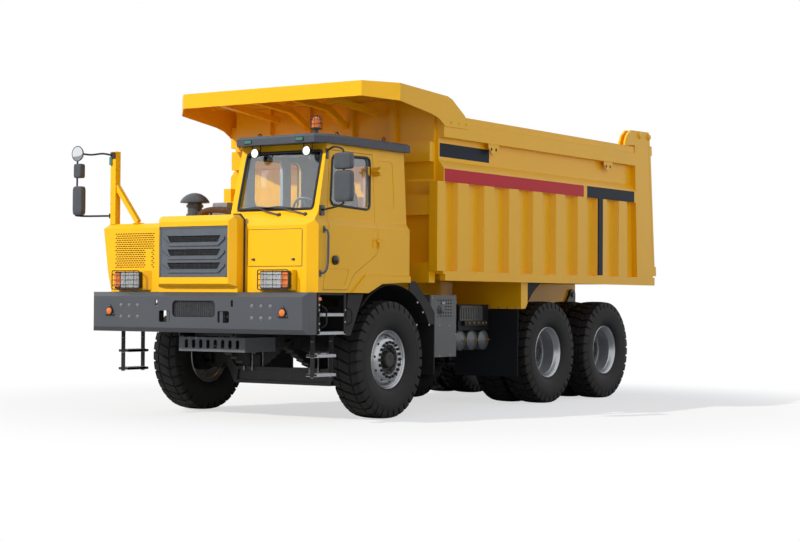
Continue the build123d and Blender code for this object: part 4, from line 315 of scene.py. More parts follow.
# Rims, hubs and wheel nuts
# Pressed steel wheels, painted silver: a barrel with rolled lips and a dished disc held by twenty nuts on the
# black cast hub. The front discs bulge outwards, the twin discs lie deep between the tyres.

# aluminium paint, sprayed: bright silver with a soft mirror, dusty low down
SILVER = material("rim_silver", "#c3c6ca", 0.28, metallic=0.65, spread=0.05, spread_mm=80, bump=0.05,
                  bump_mm=3, dust=0.10, top_z=1.2)
# painted cast iron: satin black, and the mould's sand leaves small dents
BLACK_CAST = material("black_cast", "#191a1c", 0.48, spread=0.15, spread_mm=60, bump=0.25, bump_mm=4,
                      dust=0.12)
# zinc plated steel: light grey metal with a soft mirror
ZINC = material("zinc_steel", "#9a9da0", 0.34, metallic=0.9, spread=0.10, spread_mm=30, bump=0.03, bump_mm=2)


def around(shape, centre, axis, count, start=0.0):
    """Copies of one shape turned in even steps about an axis through centre."""
    points, cap, number = shape
    centre = np.asarray(centre, float)
    first, second = {"X": (1, 2), "Y": (2, 0), "Z": (0, 1)}[axis]
    made = []
    for angle in start + 2 * np.pi * np.arange(count) / count:
        turned = points - centre
        a, b = turned[..., first].copy(), turned[..., second].copy()
        turned[..., first] = a * math.cos(angle) - b * math.sin(angle)
        turned[..., second] = a * math.sin(angle) + b * math.cos(angle)
        made.append((turned + centre, cap, number))
    return made


def nut(centre, axis, across, high, number=0, stud=True):
    """Hexagonal nut with its stud end, standing along an axis; high may be negative."""
    radius = across / 2 / math.cos(math.pi / 6)
    found = [lathe([(0, radius), (high * 0.85, radius), (high, radius * 0.86)], centre, axis, 6, True,
                   number)]
    if stud:
        found.append(lathe([(high * 0.9, radius * 0.48), (high * 1.45, radius * 0.45)], centre, axis, 10,
                           True, number))
    return found


def on_side(sign, shapes):
    """Shapes made for the truck's left side, set on the side whose Y has this sign."""
    return [(points * np.array([1, sign, 1]), cap, number) for points, cap, number in shapes]


FRONT_RIM = [(-0.160, 0.372), (-0.166, 0.366), (-0.162, 0.357), (-0.140, 0.348), (-0.120, 0.321),
             (0.105, 0.321), (0.135, 0.336), (0.148, 0.352), (0.158, 0.360), (0.166, 0.366), (0.160, 0.373),
             (0.146, 0.373), (0.140, 0.345), (-0.140, 0.345), (-0.146, 0.372), (-0.160, 0.372)]
FRONT_DISC = [(0.040, 0.322), (0.058, 0.318), (0.100, 0.303), (0.140, 0.285), (0.160, 0.270), (0.172, 0.256),
              (0.176, 0.248), (0.176, 0.192), (0.168, 0.188), (0.150, 0.188), (0.158, 0.245), (0.148, 0.262),
              (0.125, 0.278), (0.040, 0.302), (0.040, 0.322)]
FRONT_HUB = [(-0.13, 0.10), (-0.13, 0.205), (0.10, 0.205), (0.130, 0.186), (0.150, 0.180), (0.150, 0.150),
             (0.128, 0.140), (0.128, 0.112), (0.165, 0.104), (0.186, 0.094), (0.190, 0.070), (0.182, 0.020),
             (0.182, 0.001)]
DUAL_RIM = [(-0.160, 0.372), (-0.166, 0.366), (-0.162, 0.357), (-0.140, 0.348), (-0.115, 0.321),
            (0.080, 0.321), (0.092, 0.330), (0.128, 0.334), (0.150, 0.350), (0.158, 0.360), (0.166, 0.366),
            (0.160, 0.373), (0.146, 0.373), (0.140, 0.345), (-0.140, 0.345), (-0.146, 0.372), (-0.160, 0.372)]
DUAL_DISC = [(-0.140, 0.322), (-0.115, 0.322), (-0.060, 0.300), (-0.012, 0.290), (-0.002, 0.280),
             (-0.002, 0.205), (-0.020, 0.205), (-0.020, 0.275), (-0.075, 0.283), (-0.140, 0.305),
             (-0.140, 0.322)]
DUAL_HUB = [(-0.10, 0.18), (-0.10, 0.214), (0.012, 0.214), (0.020, 0.208), (0.020, 0.180), (0.060, 0.172),
            (0.180, 0.164), (0.206, 0.152), (0.214, 0.128), (0.214, 0.060), (0.224, 0.054), (0.226, 0.040),
            (0.226, 0.001)]
NUTS, VENTS, COVER_BOLTS = 20, 10, 12
for axle, axle_x, places, node, body in WHEELS:
    front = axle == "front"
    if front:
        parts = [(FRONT_DISC, 0), (FRONT_HUB, 1)]
        nut_at, nut_ring, cover_at, cover_ring = 0.176, 0.220, 0.150, 0.165
    else:
        parts = [(DUAL_DISC, 0), ([(-a, r) for a, r in DUAL_DISC], 0), (DUAL_HUB, 1)]
        nut_at, nut_ring, cover_at, cover_ring = 0.002, 0.236, 0.214, 0.094
    hub_y = places[0] if front else TWIN_HUB_Y
    hub = (axle_x, hub_y, TYRE_RADIUS)
    shapes = [lathe(FRONT_RIM if front else DUAL_RIM, (axle_x, place_y, TYRE_RADIUS), count=96)
              for place_y in places]
    shapes += [lathe(profile, hub, count=96, number=number) for profile, number in parts]
    for shape in nut((axle_x, hub_y + nut_at, TYRE_RADIUS + nut_ring), "Y", 0.036, 0.026, 1):
        shapes += around(shape, hub, "Y", NUTS)
    if front:
        vent = lathe([(0.02, 0.015), (0.034, 0.015)], (axle_x, hub_y + 0.1235, TYRE_RADIUS + 0.280), "Y", 16,
                     True, 1)
        shapes += around(vent, hub, "Y", VENTS, 0.16)
    for shape in nut((axle_x, hub_y + cover_at, TYRE_RADIUS + cover_ring), "Y", 0.020, 0.012, 1, stud=False):
        shapes += around(shape, hub, "Y", COVER_BOLTS)
    for sign, side_name in SIDES:
        piece(f"wheel_{axle}_{side_name}", f"{body}_{side_name}", [SILVER, BLACK_CAST], on_side(sign, shapes),
              stands_for=[f"{node.replace('tyre', 'rim')}_{side_name}"])


# Chassis frame, axles, springs and shafts
# Welded channel rails with cross members, sprayed with satin black chassis paint; the axle cases and
# hubs are cast iron in the same paint, with road dust on what lies low.

# chassis paint, sprayed: satin black, brown-grey with road dust low down
CHASSIS = material("chassis_paint", "#1d1e21", 0.42, coat=0.15, spread=0.10, spread_mm=250, bump=0.12,
                   bump_mm=6, edge=0.004, dust=0.22, dust_colour="#7a6f5e", top_z=1.3)
# engine paint on cast iron: dull dark grey, uneven from the casting
ENGINE = material("engine_paint", "#2b2c2e", 0.50, spread=0.20, spread_mm=90, bump=0.4, bump_mm=5, edge=0.006)


def dress(made, *names):
    """Gives CAD nodes one material in all their slots."""
    for name in names:
        data = nodes[name].data
        if not data.materials:
            data.materials.append(made)
        for number in range(len(data.materials)):
            data.materials[number] = made


dress(CHASSIS, "frame_rails", "front_axle", "driven_axles", "leaf_springs", "prop_shafts", "hoist_mount",
      "knuckle_left", "knuckle_right", "tie_rod", "hoist_barrel")
dress(ENGINE, "engine_block")

# Bumper
# A folded plate box across the whole front, in dark grey enamel, held by domed bolts. Behind its window lies
# a mesh screen, and a small amber lamp on a black three-cornered plate sits near each end.

# enamel, sprayed on folded plate: dark grey with an even satin mirror
BUMPER = material("bumper_paint", "#464a51", 0.36, coat=0.25, spread=0.05, spread_mm=500, bump=0.05,
                  bump_mm=3, edge=0.006, dust=0.08, top_z=1.6)
# black enamel, baked: deep black with a clear mirror
GLOSS_BLACK = material("gloss_black", "#0c0d0f", 0.22, coat=0.3, spread=0.05, spread_mm=50, bump=0.02,
                       bump_mm=2)
dress(BUMPER, "bumper")


def prism(outline, axis, low, high, number=0):
    """Outline in the plane across an axis, drawn out from low to high along it."""
    flat = np.asarray(outline, float)
    order = {"X": (2, 0, 1), "Y": (0, 2, 1), "Z": (0, 1, 2)}[axis]
    rows = [np.column_stack([flat, np.full(len(flat), at)])[:, order] for at in (low, high)]
    return np.stack(rows), True, number


def box(low, high, number=0):
    """Box between two corners."""
    return prism(rectangle(low, high), "Z", low[2], high[2], number)


def rounded(outline, radius, steps=5):
    """Outline with each corner replaced by an arc that touches both of its sides."""
    flat = np.asarray(outline, float)
    before, after = np.roll(flat, 1, 0) - flat, np.roll(flat, -1, 0) - flat
    before_unit = before / np.linalg.norm(before, axis=1, keepdims=True)
    after_unit = after / np.linalg.norm(after, axis=1, keepdims=True)
    share = np.linspace(0, 1, steps)[None, :, None]
    start = (flat + before_unit * radius)[:, None]
    end = (flat + after_unit * radius)[:, None]
    bend = (1 - share) ** 2 * start + 2 * share * (1 - share) * flat[:, None] + share ** 2 * end
    return bend.reshape(-1, 2)


def rectangle(low, high, radius=0.0, steps=5):
    """Rectangle outline between two corners, with its corners rounded."""
    corners = [(low[0], low[1]), (high[0], low[1]), (high[0], high[1]), (low[0], high[1])]
    return rounded(corners, radius, steps) if radius else np.array(corners)


def spline(points, steps):
    """Smooth line through points: the mean-slope cubic between each pair, with steps samples."""
    p = np.asarray(points, float)
    padded = np.vstack([2 * p[0] - p[1], p, 2 * p[-1] - p[-2]])
    t = np.linspace(0, 1, steps, endpoint=False)[None, :, None]
    a, b, c, d = (padded[i:len(padded) - 3 + i, None] for i in range(4))
    curve = b + 0.5 * ((c - a) * t + (2 * a - 5 * b + 4 * c - d) * t ** 2 + (3 * b - a - 3 * c + d) * t ** 3)
    return np.vstack([curve.reshape(-1, 3), p[-1:]])


def tube(points, radius, count=12, number=0, steps=0):
    """Round bar or hose along points; steps above 0 runs it along the smooth line through them."""
    path = spline(points, steps) if steps else np.asarray(points, float)
    run = np.gradient(path, axis=0)
    run /= np.linalg.norm(run, axis=1, keepdims=True)
    reference = np.eye(3)[np.argmin(np.abs(run).max(0))]
    across = np.cross(run, reference)
    across /= np.linalg.norm(across, axis=1, keepdims=True)
    other = np.cross(run, across)
    angle = np.linspace(0, 2 * np.pi, count, endpoint=False)[None, :, None]
    ring = across[:, None] * np.cos(angle) + other[:, None] * np.sin(angle)
    width = np.broadcast_to(np.asarray(radius, float), (len(path),))[:, None, None]
    return path[:, None] + width * ring, True, number


def dome(centre, axis, radius, high, number=0, count=24):
    """Domed bolt head or lens, standing from centre along an axis; high may be negative."""
    lift = np.linspace(0, 1, 7)
    profile = np.column_stack([high * np.sin(lift * np.pi / 2), radius * np.cos(lift * np.pi / 2) + 1e-5])
    return lathe(profile, centre, axis, count, True, number)


def lamp_glass(name, colour, glow):
    """Moulded lamp lens: coloured, glossy and slightly clouded, with a fine grain of 6 mm."""
    made = material(name, colour, 0.12, coat=0.6, spread=0.10, spread_mm=20, bump=0.2, bump_mm=6)
    shader = made.node_tree.nodes["Principled BSDF"]
    # painted light: the lens glows faintly in its own colour, standing in for light gathered inside the lamp
    # behind it
    shader.inputs["Emission Color"].default_value = linear(colour)
    shader.inputs["Emission Strength"].default_value = glow
    return made


# amber lenses and reflectors glow faintly: painted light
AMBER = lamp_glass("amber_lens", "#e0701a", 0.12)
FACE_X = 4.597
lamp_y, lamp_z = 1.390, 1.335
plate = rounded([(lamp_y - 0.088, lamp_z - 0.062), (lamp_y + 0.088, lamp_z - 0.062),
                 (lamp_y, lamp_z + 0.098)], 0.035)
shapes = [prism(plate, "X", FACE_X, FACE_X + 0.007, 1),
          lathe([(0, 0.056), (0.012, 0.054), (0.016, 0.047)], (FACE_X + 0.006, lamp_y, lamp_z), "X", 32, True,
                1), dome((FACE_X + 0.020, lamp_y, lamp_z), "X", 0.043, 0.016, 2),
          lathe([(0, 0.0215), (0.11, 0.0215)], (4.507, 0.375, 1.28), "Y", 20, True)]
for a in np.radians((90, 210, 330)):
    shapes.append(dome((FACE_X + 0.006, lamp_y + 0.068 * math.cos(a), lamp_z + 0.066 * math.sin(a)), "X",
                       0.009, 0.006))
for bolt_y, bolt_z in ((y, z) for y in (0.92, 1.06, 1.20) for z in (1.411, 1.268)):
    shapes += [lathe([(0, 0.024), (0.003, 0.024), (0.0035, 0.018)], (FACE_X, bolt_y, bolt_z), "X", 20, True),
               dome((FACE_X + 0.003, bolt_y, bolt_z), "X", 0.0165, 0.010)]
piece("bumper_bolts_and_lamps", "chassis", [ZINC, GLOSS_BLACK, AMBER], shapes + on_side(-1, shapes))

# mesh screen of galvanised wire behind the cooling window, weathered to a dull grey
MESH_WIRE = material("screen_wire", "#55565a", 0.45, metallic=0.3, spread=0.2, spread_mm=40)
shapes = [box((FACE_X - 0.030, -0.345, 1.270 + 0.0132 * k), (FACE_X - 0.026, 0.345, 1.275 + 0.0132 * k))
          for k in range(16)]
shapes += [box((FACE_X - 0.034, -0.340 + 0.034 * k, 1.268), (FACE_X - 0.029, -0.334 + 0.034 * k, 1.476))
           for k in range(21)]
piece("bumper_screen", "chassis", [MESH_WIRE], shapes, smooth=False)

# Hood and grille
# The hood's nose is a folded yellow shell. Its grille is a dark moulded panel with three openings over wire
# mesh, each with a wing-shaped ledge under it, screwed in along its rim.


def enamel(name):
    """Glossy machine enamel in the maker's yellow, with a faint orange peel."""
    return material(name, "#fbbd0c", 0.36, coat=0.12, ior=1.42, spread=0.02, spread_mm=900, bump=0.05,
                    bump_mm=4, edge=0.004)


YELLOW = enamel("yellow_enamel")
# filled nylon, moulded: satin grey with a fine grain
GRILLE = material("grille_plastic", "#5b6069", 0.40, spread=0.08, spread_mm=80, bump=0.12, bump_mm=1.5,
                  edge=0.003)
# what lies in shade behind an opening: sooty black without a mirror
DARK = material("dark_inside", "#0b0b0c", 0.7, spread=0.2, spread_mm=60, bump=0.2, bump_mm=8)
dress(YELLOW, "engine_hood", "side_housing")
GRILLE_X = 4.602
GRILLE_LOW, GRILLE_HIGH = (-0.560, 1.760), (0.545, 2.385)
centre_y = (GRILLE_LOW[0] + GRILLE_HIGH[0]) / 2
(low_y, low_z), (high_y, high_z) = np.array(GRILLE_LOW) + 0.002, np.array(GRILLE_HIGH) - 0.002
# a black sheet just behind the openings: painted shade of the hollow behind the grille
shapes = [prism(rectangle((low_y - 0.001, low_z - 0.001), (high_y + 0.001, high_z + 0.001), 0.022), "X",
                GRILLE_X - 0.050, GRILLE_X - 0.030, 1)]
# frame bars between the openings, then the ledges
ROWS, HALF_OPENING = (2.230, 2.065, 1.900), 0.380
edges = [GRILLE_HIGH[1]] + [z for row_z in ROWS for z in (row_z + 0.040, row_z - 0.040)] + [GRILLE_LOW[1]]
shapes += [box((GRILLE_X - 0.031, low_y, low), (GRILLE_X - 0.006, high_y, high))
           for high, low in zip(edges[::2], edges[1::2])]
for row_z in ROWS:
    for sign, end_y in ((1, high_y), (-1, low_y)):
        outline = [(centre_y + sign * HALF_OPENING, row_z - 0.041),
                   (centre_y + sign * (HALF_OPENING + 0.050), row_z + 0.041), (end_y, row_z + 0.041),
                   (end_y, row_z - 0.041)]
        shapes.append(prism(outline, "X", GRILLE_X - 0.031, GRILLE_X - 0.006))
    ledge = [(centre_y + y, row_z + z) for y, z in (
        (-0.500, 0.022), (-0.385, -0.060), (0.385, -0.060), (0.500, 0.022), (0.500, -0.006), (0.400, -0.085),
        (-0.400, -0.085), (-0.500, -0.006))]
    shapes.append(prism(ledge, "X", GRILLE_X - 0.010, GRILLE_X + 0.010, 0))
    shapes += [box((GRILLE_X - 0.026, centre_y - 0.41 + 0.0205 * k, row_z - 0.045),
                   (GRILLE_X - 0.022, centre_y - 0.407 + 0.0205 * k, row_z + 0.045), 2) for k in range(41)]
    shapes += [box((GRILLE_X - 0.024, centre_y - 0.42, row_z - 0.036 + 0.018 * k),
                   (GRILLE_X - 0.020, centre_y + 0.42, row_z - 0.033 + 0.018 * k), 2) for k in range(5)]
shapes += [box((GRILLE_X - 0.030, a, b), (GRILLE_X, c, d)) for a, b, c, d in (
    (low_y, low_z, high_y, low_z + 0.022), (low_y, high_z - 0.022, high_y, high_z),
    (low_y, low_z, low_y + 0.022, high_z), (high_y - 0.022, low_z, high_y, high_z))]
shapes += [dome((GRILLE_X, y, z), "X", 0.007, 0.004, 0, 12)
           for y in (low_y + 0.011, centre_y - 0.19, centre_y + 0.19, high_y - 0.011)
           for z in (low_z + 0.011, high_z - 0.011)]
piece("grille_panel", "chassis", [GRILLE, DARK, MESH_WIRE], shapes, bevel=0.003,
      stands_for=["grille"])

# Side housing's vents
# Staggered oval slots punched through the yellow front sheet of the cooler housing, which lies in one plane
# with the cab's front under the windshield.
HOUSING_X = 4.400
# each slot is a thin black oval laid on the sheet: painted shade of the hollow behind it
shapes = []
for row in range(17):
    odd = row % 2
    for column in range(16 - odd):
        y, z = -1.478 + 0.0425 * column + 0.0212 * odd, 2.318 - 0.0265 * row
        # lower down, the lamp's box covers all but the last column
        if y <= -0.98 or row < 8 or column == 15 - odd:
            slot = rectangle((y - 0.0165, z - 0.0062), (y + 0.0165, z + 0.0062), 0.006, 3)
            shapes.append(prism(slot, "X", HOUSING_X - 0.0005, HOUSING_X + 0.0006))
piece("housing_vents", "chassis", [DARK], shapes, smooth=False)

# Head lamps
# A yellow sheet box behind each lamp, a chrome reflector with a ribbed clear lens, an amber turn lamp on its
# outer side, and a guard of black round wires screwed over both.

# metallised plastic: an almost clear mirror
CHROME = material("lamp_reflector", "#e8e9ea", 0.08, metallic=1.0, spread=0.02, spread_mm=40, bump=0.02,
                  bump_mm=6)
# polycarbonate, moulded: see-through, with upright ribs that break up the reflector; a wave of scale 26
# sets them 12 mm apart
CLEAR = bpy.data.materials.new("clear_lens")
CLEAR.use_nodes = True
shader = CLEAR.node_tree.nodes["Principled BSDF"]
shader.inputs["Base Color"].default_value = (0.93, 0.95, 0.96, 1)
shader.inputs["Roughness"].default_value = 0.05
shader.inputs["Transmission Weight"].default_value = 0.9
shader.inputs["IOR"].default_value = 1.49
ribs = add(CLEAR.node_tree, "ShaderNodeTexWave", {"Scale": 26.0, "Distortion": 0.0}, bands_direction="Y")
where = add(CLEAR.node_tree, "ShaderNodeTexCoord")
CLEAR.node_tree.links.new(where.outputs["Object"], ribs.inputs["Vector"])
relief = add(CLEAR.node_tree, "ShaderNodeBump",
             {"Height": ribs.outputs["Fac"], "Distance": 0.002, "Strength": 0.6})
CLEAR.node_tree.links.new(relief.outputs[0], shader.inputs["Normal"])
LAMP_X, GUARD_X = 4.508, 4.538
INNER_Y, OUTER_Y = 0.965, 1.405
back = [(HOUSING_X, 0.866), (HOUSING_X, 1.434), (HOUSING_X + 0.070, 1.425), (HOUSING_X + 0.070, 0.950)]
reflector = rectangle((INNER_Y + 0.012, 1.634), (INNER_Y + 0.325, 1.822), 0.018)
lens = [prism(reflector, "X", LAMP_X + 0.001, LAMP_X + 0.009)]
housing = [prism(back, "Z", 1.603, 1.850),
           prism(rectangle((INNER_Y, 1.622), (OUTER_Y, 1.834), 0.012), "X", 4.465, LAMP_X - 0.004, 1),
           prism(reflector, "X", LAMP_X - 0.006, LAMP_X - 0.001, 2),
           prism(rectangle((INNER_Y + 0.338, 1.640), (OUTER_Y - 0.008, 1.818), 0.028), "X", LAMP_X - 0.006,
                 LAMP_X + 0.012, 3)]
for sign, side_name in SIDES:
    piece(f"lamp_body_{side_name}", "chassis", [YELLOW, GLOSS_BLACK, CHROME, AMBER], on_side(sign, housing),
          bevel=0.004, stands_for=["head_lamps"])
    piece(f"lamp_lens_{side_name}", "chassis", [CLEAR], on_side(sign, lens), bevel=0.003)
    low_y, high_y = sorted((sign * (INNER_Y - 0.010), sign * (OUTER_Y + 0.014)))
    loop = np.column_stack([np.full(20, GUARD_X), rectangle((low_y, 1.612), (high_y, 1.846), 0.022)])
    wires = [tube(np.vstack([loop, loop[:1]]), 0.0065, 8)]
    wires += [tube([(GUARD_X, low_y, z), (GUARD_X, high_y, z)], 0.0038, 8) for z in (1.668, 1.729, 1.790)]
    for share in (0.19, 0.5, 0.81):
        wire_x, wire_y = GUARD_X + 0.004, low_y + share * (high_y - low_y)
        wires.append(tube([(wire_x, wire_y, 1.612), (wire_x, wire_y, 1.846)], 0.0038, 8))
    wires += [tube([(GUARD_X, y, z), (4.455, y, z)], 0.0045, 8) for y in (low_y, high_y)
              for z in (1.655, 1.803)]
    piece(f"lamp_guard_{side_name}", "chassis", [GLOSS_BLACK], wires)

# Cab shell and door
# Pressed and folded steel sheet, spot welded and sprayed with glossy machine enamel, and clad inside with
# grey-blue trim boards. The panes are held by black rubber beads, the door hangs on two cast hinges.


def paint_over(made, *boxes):
    """Other colours inside boxes of the piece's own coordinates; a box is (colour, low corner, high corner).
    A point lies inside where its distance from the middle is less than half the size on all three axes. What
    lies there is matt: film, trim board or rubber, or a near-black patch of painted shade."""
    tree = made.node_tree
    shader = tree.nodes["Principled BSDF"]
    where = add(tree, "ShaderNodeTexCoord").outputs["Object"]
    base, covered = shader.inputs["Base Color"].links[0].from_socket, 0.0
    for colour, low, high in boxes:
        low, high = np.array(low, float), np.array(high, float)
        away = add(tree, "ShaderNodeVectorMath", {0: where, 1: (low + high) / 2},
                   operation="SUBTRACT").outputs[0]
        away = add(tree, "ShaderNodeVectorMath", {0: away}, operation="ABSOLUTE").outputs[0]
        share = add(tree, "ShaderNodeVectorMath", {0: away, 1: (high - low) / 2},
                    operation="DIVIDE").outputs[0]
        share = add(tree, "ShaderNodeSeparateXYZ", {0: share})
        most = add(tree, "ShaderNodeMath", {0: share.outputs[0], 1: share.outputs[1]},
                   operation="MAXIMUM").outputs[0]
        most = add(tree, "ShaderNodeMath", {0: most, 1: share.outputs[2]}, operation="MAXIMUM").outputs[0]
        inside = add(tree, "ShaderNodeMath", {0: most, 1: 1.0}, operation="LESS_THAN").outputs[0]
        base = add(tree, "ShaderNodeMix", {0: inside, 6: base, 7: linear(colour)},
                   data_type="RGBA").outputs[2]
        covered = add(tree, "ShaderNodeMath", {0: inside, 1: covered}, operation="MAXIMUM").outputs[0]
    tree.links.new(base, shader.inputs["Base Color"])
    for name, bare, film in (("Specular IOR Level", 0.5, 0.12),
                             ("Coat Weight", shader.inputs["Coat Weight"].default_value, 0.0)):
        gloss = add(tree, "ShaderNodeMapRange", {"Value": covered, "To Min": bare, "To Max": film})
        tree.links.new(gloss.outputs["Result"], shader.inputs[name])
    return made


# vinyl covered trim boards
TRIM = "#a3b1bf"
CAB_ENAMEL = paint_over(enamel("cab_enamel"), (TRIM, (2.428, 0.340, 1.765), (4.340, 1.656, 2.385)),
                        (TRIM, (2.428, 0.340, 2.380), (4.020, 1.640, 2.600)),
                        (TRIM, (2.428, 0.340, 2.590), (4.020, 1.596, 3.345)))
dress(CAB_ENAMEL, "cab_shell", "cab_door")
# synthetic rubber, extruded: blue-black with a soft sheen
BEAD = material("rubber_bead", "#1f2530", 0.45, spread=0.06, spread_mm=60, bump=0.05, bump_mm=2)
# ABS, moulded: dark grey and satin, with a fine grain
PLASTIC = material("black_plastic", "#464a50", 0.40, coat=0.1, spread=0.08, spread_mm=60, bump=0.08,
                   bump_mm=1.2, edge=0.004)


def wall_y(z):
    """Outer face of the cab's leaning side wall at a height."""
    return 1.650 - 0.050 * (z - 2.460) / 0.920


def front_x(z):
    """Outer face of the leaning windshield frame at a height."""
    return 4.255 - 0.225 * (z - 2.545) / 0.835


def bead(outline, radius, place, bar=0.013):
    """Rubber bead along a window's edge: an outline with rounded corners, set on a wall by place(a, b)."""
    flat = rounded(outline, radius, 7)
    loop = np.array([place(a, b) for a, b in np.vstack([flat, flat[:2]])])
    return tube(loop, bar, 8)


WINDSHIELD = [(0.402, 2.582), (1.552, 2.582), (1.546, 3.292), (0.402, 3.292)]
DOOR_WINDOW = [(3.200, 2.610), (4.015, 2.640), (3.935, 3.240), (3.150, 3.260)]
INNER_WINDOW = [(2.900, 2.650), (3.850, 2.650), (3.850, 3.250), (2.900, 3.250)]
REAR_WINDOW = [(0.550, 2.650), (1.400, 2.650), (1.400, 3.250), (0.550, 3.250)]
shapes = [bead(WINDSHIELD, 0.045, lambda y, z: (front_x(z) + 0.002, y, z), 0.016),
          bead(INNER_WINDOW, 0.090, lambda x, z: (x, 0.298, z)),
          bead(REAR_WINDOW, 0.090, lambda y, z: (2.383, y, z))]
piece("window_beads", "chassis", [BEAD], shapes)
piece("door_bead", "door", [BEAD], [bead(DOOR_WINDOW, 0.085, lambda x, z: (x, wall_y(z) + 0.003, z), 0.016)])
# a dark strip in the bead rubber's colour along the seam of hood and cab: painted shade of the gap between
# them
corner = [(HOUSING_X + 0.002, y, z)
          for y, z in ((0.638, 1.560), (0.638, 2.462), (0.574, 2.527), (0.460, 2.527))]
piece("hood_gap_painted_shade", "chassis", [BEAD], [tube(corner, 0.012, 8)])

# black enamel band fired on the windshield's inside, with a half round at each sun visor's bracket
turn = np.linspace(np.pi, 2 * np.pi, 15)
band = [(0.402, 3.292), (0.402, 3.242)]
for middle in (0.644, 1.380):
    band += list(zip(middle + 0.06 * np.cos(turn), 3.242 + 0.06 * np.sin(turn)))
band += [(1.546, 3.242), (1.546, 3.292)]
sheet = np.stack([[(front_x(z) - back, y, z) for y, z in band] for back in (0.030, 0.032)])
piece("windshield_band", "chassis", [GLOSS_BLACK], [(sheet, True, 0)], smooth=False)

# toughened glass, flat and clear, that mirrors the sky more than bare glass does, as its IOR of 1.9 says;
# light on its way to what lies behind passes it
GLASS = bpy.data.materials.new("cab_glass")
GLASS.use_nodes = True
tree = GLASS.node_tree
shader = tree.nodes["Principled BSDF"]
shader.inputs["Base Color"].default_value = (0.90, 0.96, 0.97, 1)
shader.inputs["Roughness"].default_value = 0.0
shader.inputs["Transmission Weight"].default_value = 1.0
shader.inputs["IOR"].default_value = 1.9
ray = add(tree, "ShaderNodeLightPath")
blocked = add(tree, "ShaderNodeMath", {0: ray.outputs["Is Shadow Ray"], 1: ray.outputs["Is Diffuse Ray"]},
              operation="MAXIMUM")
open_pane = add(tree, "ShaderNodeBsdfTransparent", {"Color": (0.95, 0.98, 0.98, 1)})
mixed = add(tree, "ShaderNodeMixShader",
            {0: blocked.outputs[0], 1: shader.outputs[0], 2: open_pane.outputs[0]})
tree.links.new(mixed.outputs[0], tree.nodes["Material Output"].inputs["Surface"])
dress(GLASS, "cab_windshield")


def pane(outline, radius, place, thick):
    """Flat sheet of glass within an outline; place(a, b, depth) gives a point of its two faces."""
    flat = rounded(outline, radius, 7)
    return np.stack([np.array([place(a, b, d) for a, b in flat]) for d in (0.0, thick)]), True, 0


piece("side_panes", "chassis", [GLASS],
      [pane(INNER_WINDOW, 0.090, lambda x, z, d: (x, 0.322 + d, z), 0.005),
       pane(REAR_WINDOW, 0.090, lambda y, z, d: (2.408 + d, y, z), 0.005)], smooth=False)
piece("door_pane", "door", [GLASS],
      [pane(DOOR_WINDOW, 0.085, lambda x, z, d: (x, wall_y(z) - 0.024 + d, z), 0.005)], smooth=False)

# Door handle, hinges and front hatch
# A black moulded turn knob. The cast yellow hinges have a leaf with four bolts on each side of their pin. On
# the cab's front lies a flush steel hatch over the fluid fillers, with a rubber seal and two black latches.
shapes = [lathe([(0, 0.057), (0.030, 0.057), (0.048, 0.050), (0.060, 0.034), (0.066, 0.014), (0.067, 0.001)],
                (4.000, 1.684, 1.970), "Y", 40)]
piece("door_handle", "door", [GLOSS_BLACK], shapes)
HINGE_BOLTS = [(x, z) for x in (-0.034, 0.034) for z in (-0.032, 0.032)]
PIN_X, PIN_Y = 3.095, 1.725
for name, hinge_z, hinge_y, tilt in (("upper", 3.095, 1.618, -0.054), ("lower", 2.200, 1.701, 0.0)):
    door_side, shell_side = [], []
    for x, made in ((3.160, door_side), (3.030, shell_side)):
        plate = rectangle((x - 0.045, hinge_z - 0.055), (x + 0.045, hinge_z + 0.055), 0.014)
        rows = [np.array([(a, hinge_y - 0.002 + depth + tilt * (b - hinge_z), b) for a, b in plate])
                for depth in (0, 0.011)]
        made.append((np.stack(rows), True, 0))
        for bolt_x, bolt_z in HINGE_BOLTS:
            made.append(dome((x + bolt_x, hinge_y + 0.007 + tilt * bolt_z, hinge_z + bolt_z), "Y", 0.009,
                             0.008, 0, 12))
    door_side += [box((PIN_X + 0.003, hinge_y, hinge_z - 0.048),
                      (PIN_X + 0.014, PIN_Y + 0.010, hinge_z + 0.048)),
                  lathe([(-0.056, 0.001), (-0.056, 0.017), (0.056, 0.017), (0.056, 0.001)],
                        (PIN_X, PIN_Y, hinge_z), "Z", 20)]
    shell_side.append(box((PIN_X - 0.014, hinge_y, hinge_z - 0.048),
                          (PIN_X - 0.003, PIN_Y - 0.019, hinge_z + 0.048)))
    piece(f"hinge_{name}_door", "door", [YELLOW], door_side, bevel=0.002)
    piece(f"hinge_{name}_shell", "chassis", [YELLOW], shell_side, bevel=0.002)
hatch = rectangle((0.690, 1.891), (1.519, 2.337), 0.018)
seal = np.column_stack([np.full(len(hatch) + 2, HOUSING_X + 0.0005), np.vstack([hatch, hatch[:2]])])
shapes = [prism(rectangle((0.697, 1.898), (1.512, 2.330), 0.014), "X", HOUSING_X - 0.002, HOUSING_X + 0.0045),
          tube(seal, 0.0035, 6, 1)]
for latch_y in (0.790, 1.397):
    grip = rectangle((latch_y - 0.030, 1.968), (latch_y + 0.010, 1.983), 0.006)
    shapes += [lathe([(0, 0.017), (0.010, 0.016), (0.013, 0.010), (0.0131, 0.001)],
                     (HOUSING_X + 0.004, latch_y, 1.975), "X", 20, False, 1),
               prism(grip, "X", HOUSING_X + 0.016, HOUSING_X + 0.024, 1)]
piece("cab_hatch", "chassis", [YELLOW, PLASTIC], shapes, bevel=0.0015)
grab = [(4.215, 1.690, 2.331), (4.213, 1.735, 2.325), (4.212, 1.760, 2.285), (4.212, 1.764, 2.220),
        (4.216, 1.764, 2.000), (4.230, 1.762, 1.880), (4.258, 1.742, 1.822), (4.287, 1.690, 1.804)]
shapes = [tube(grab, 0.0145, 12, 0, 5)]
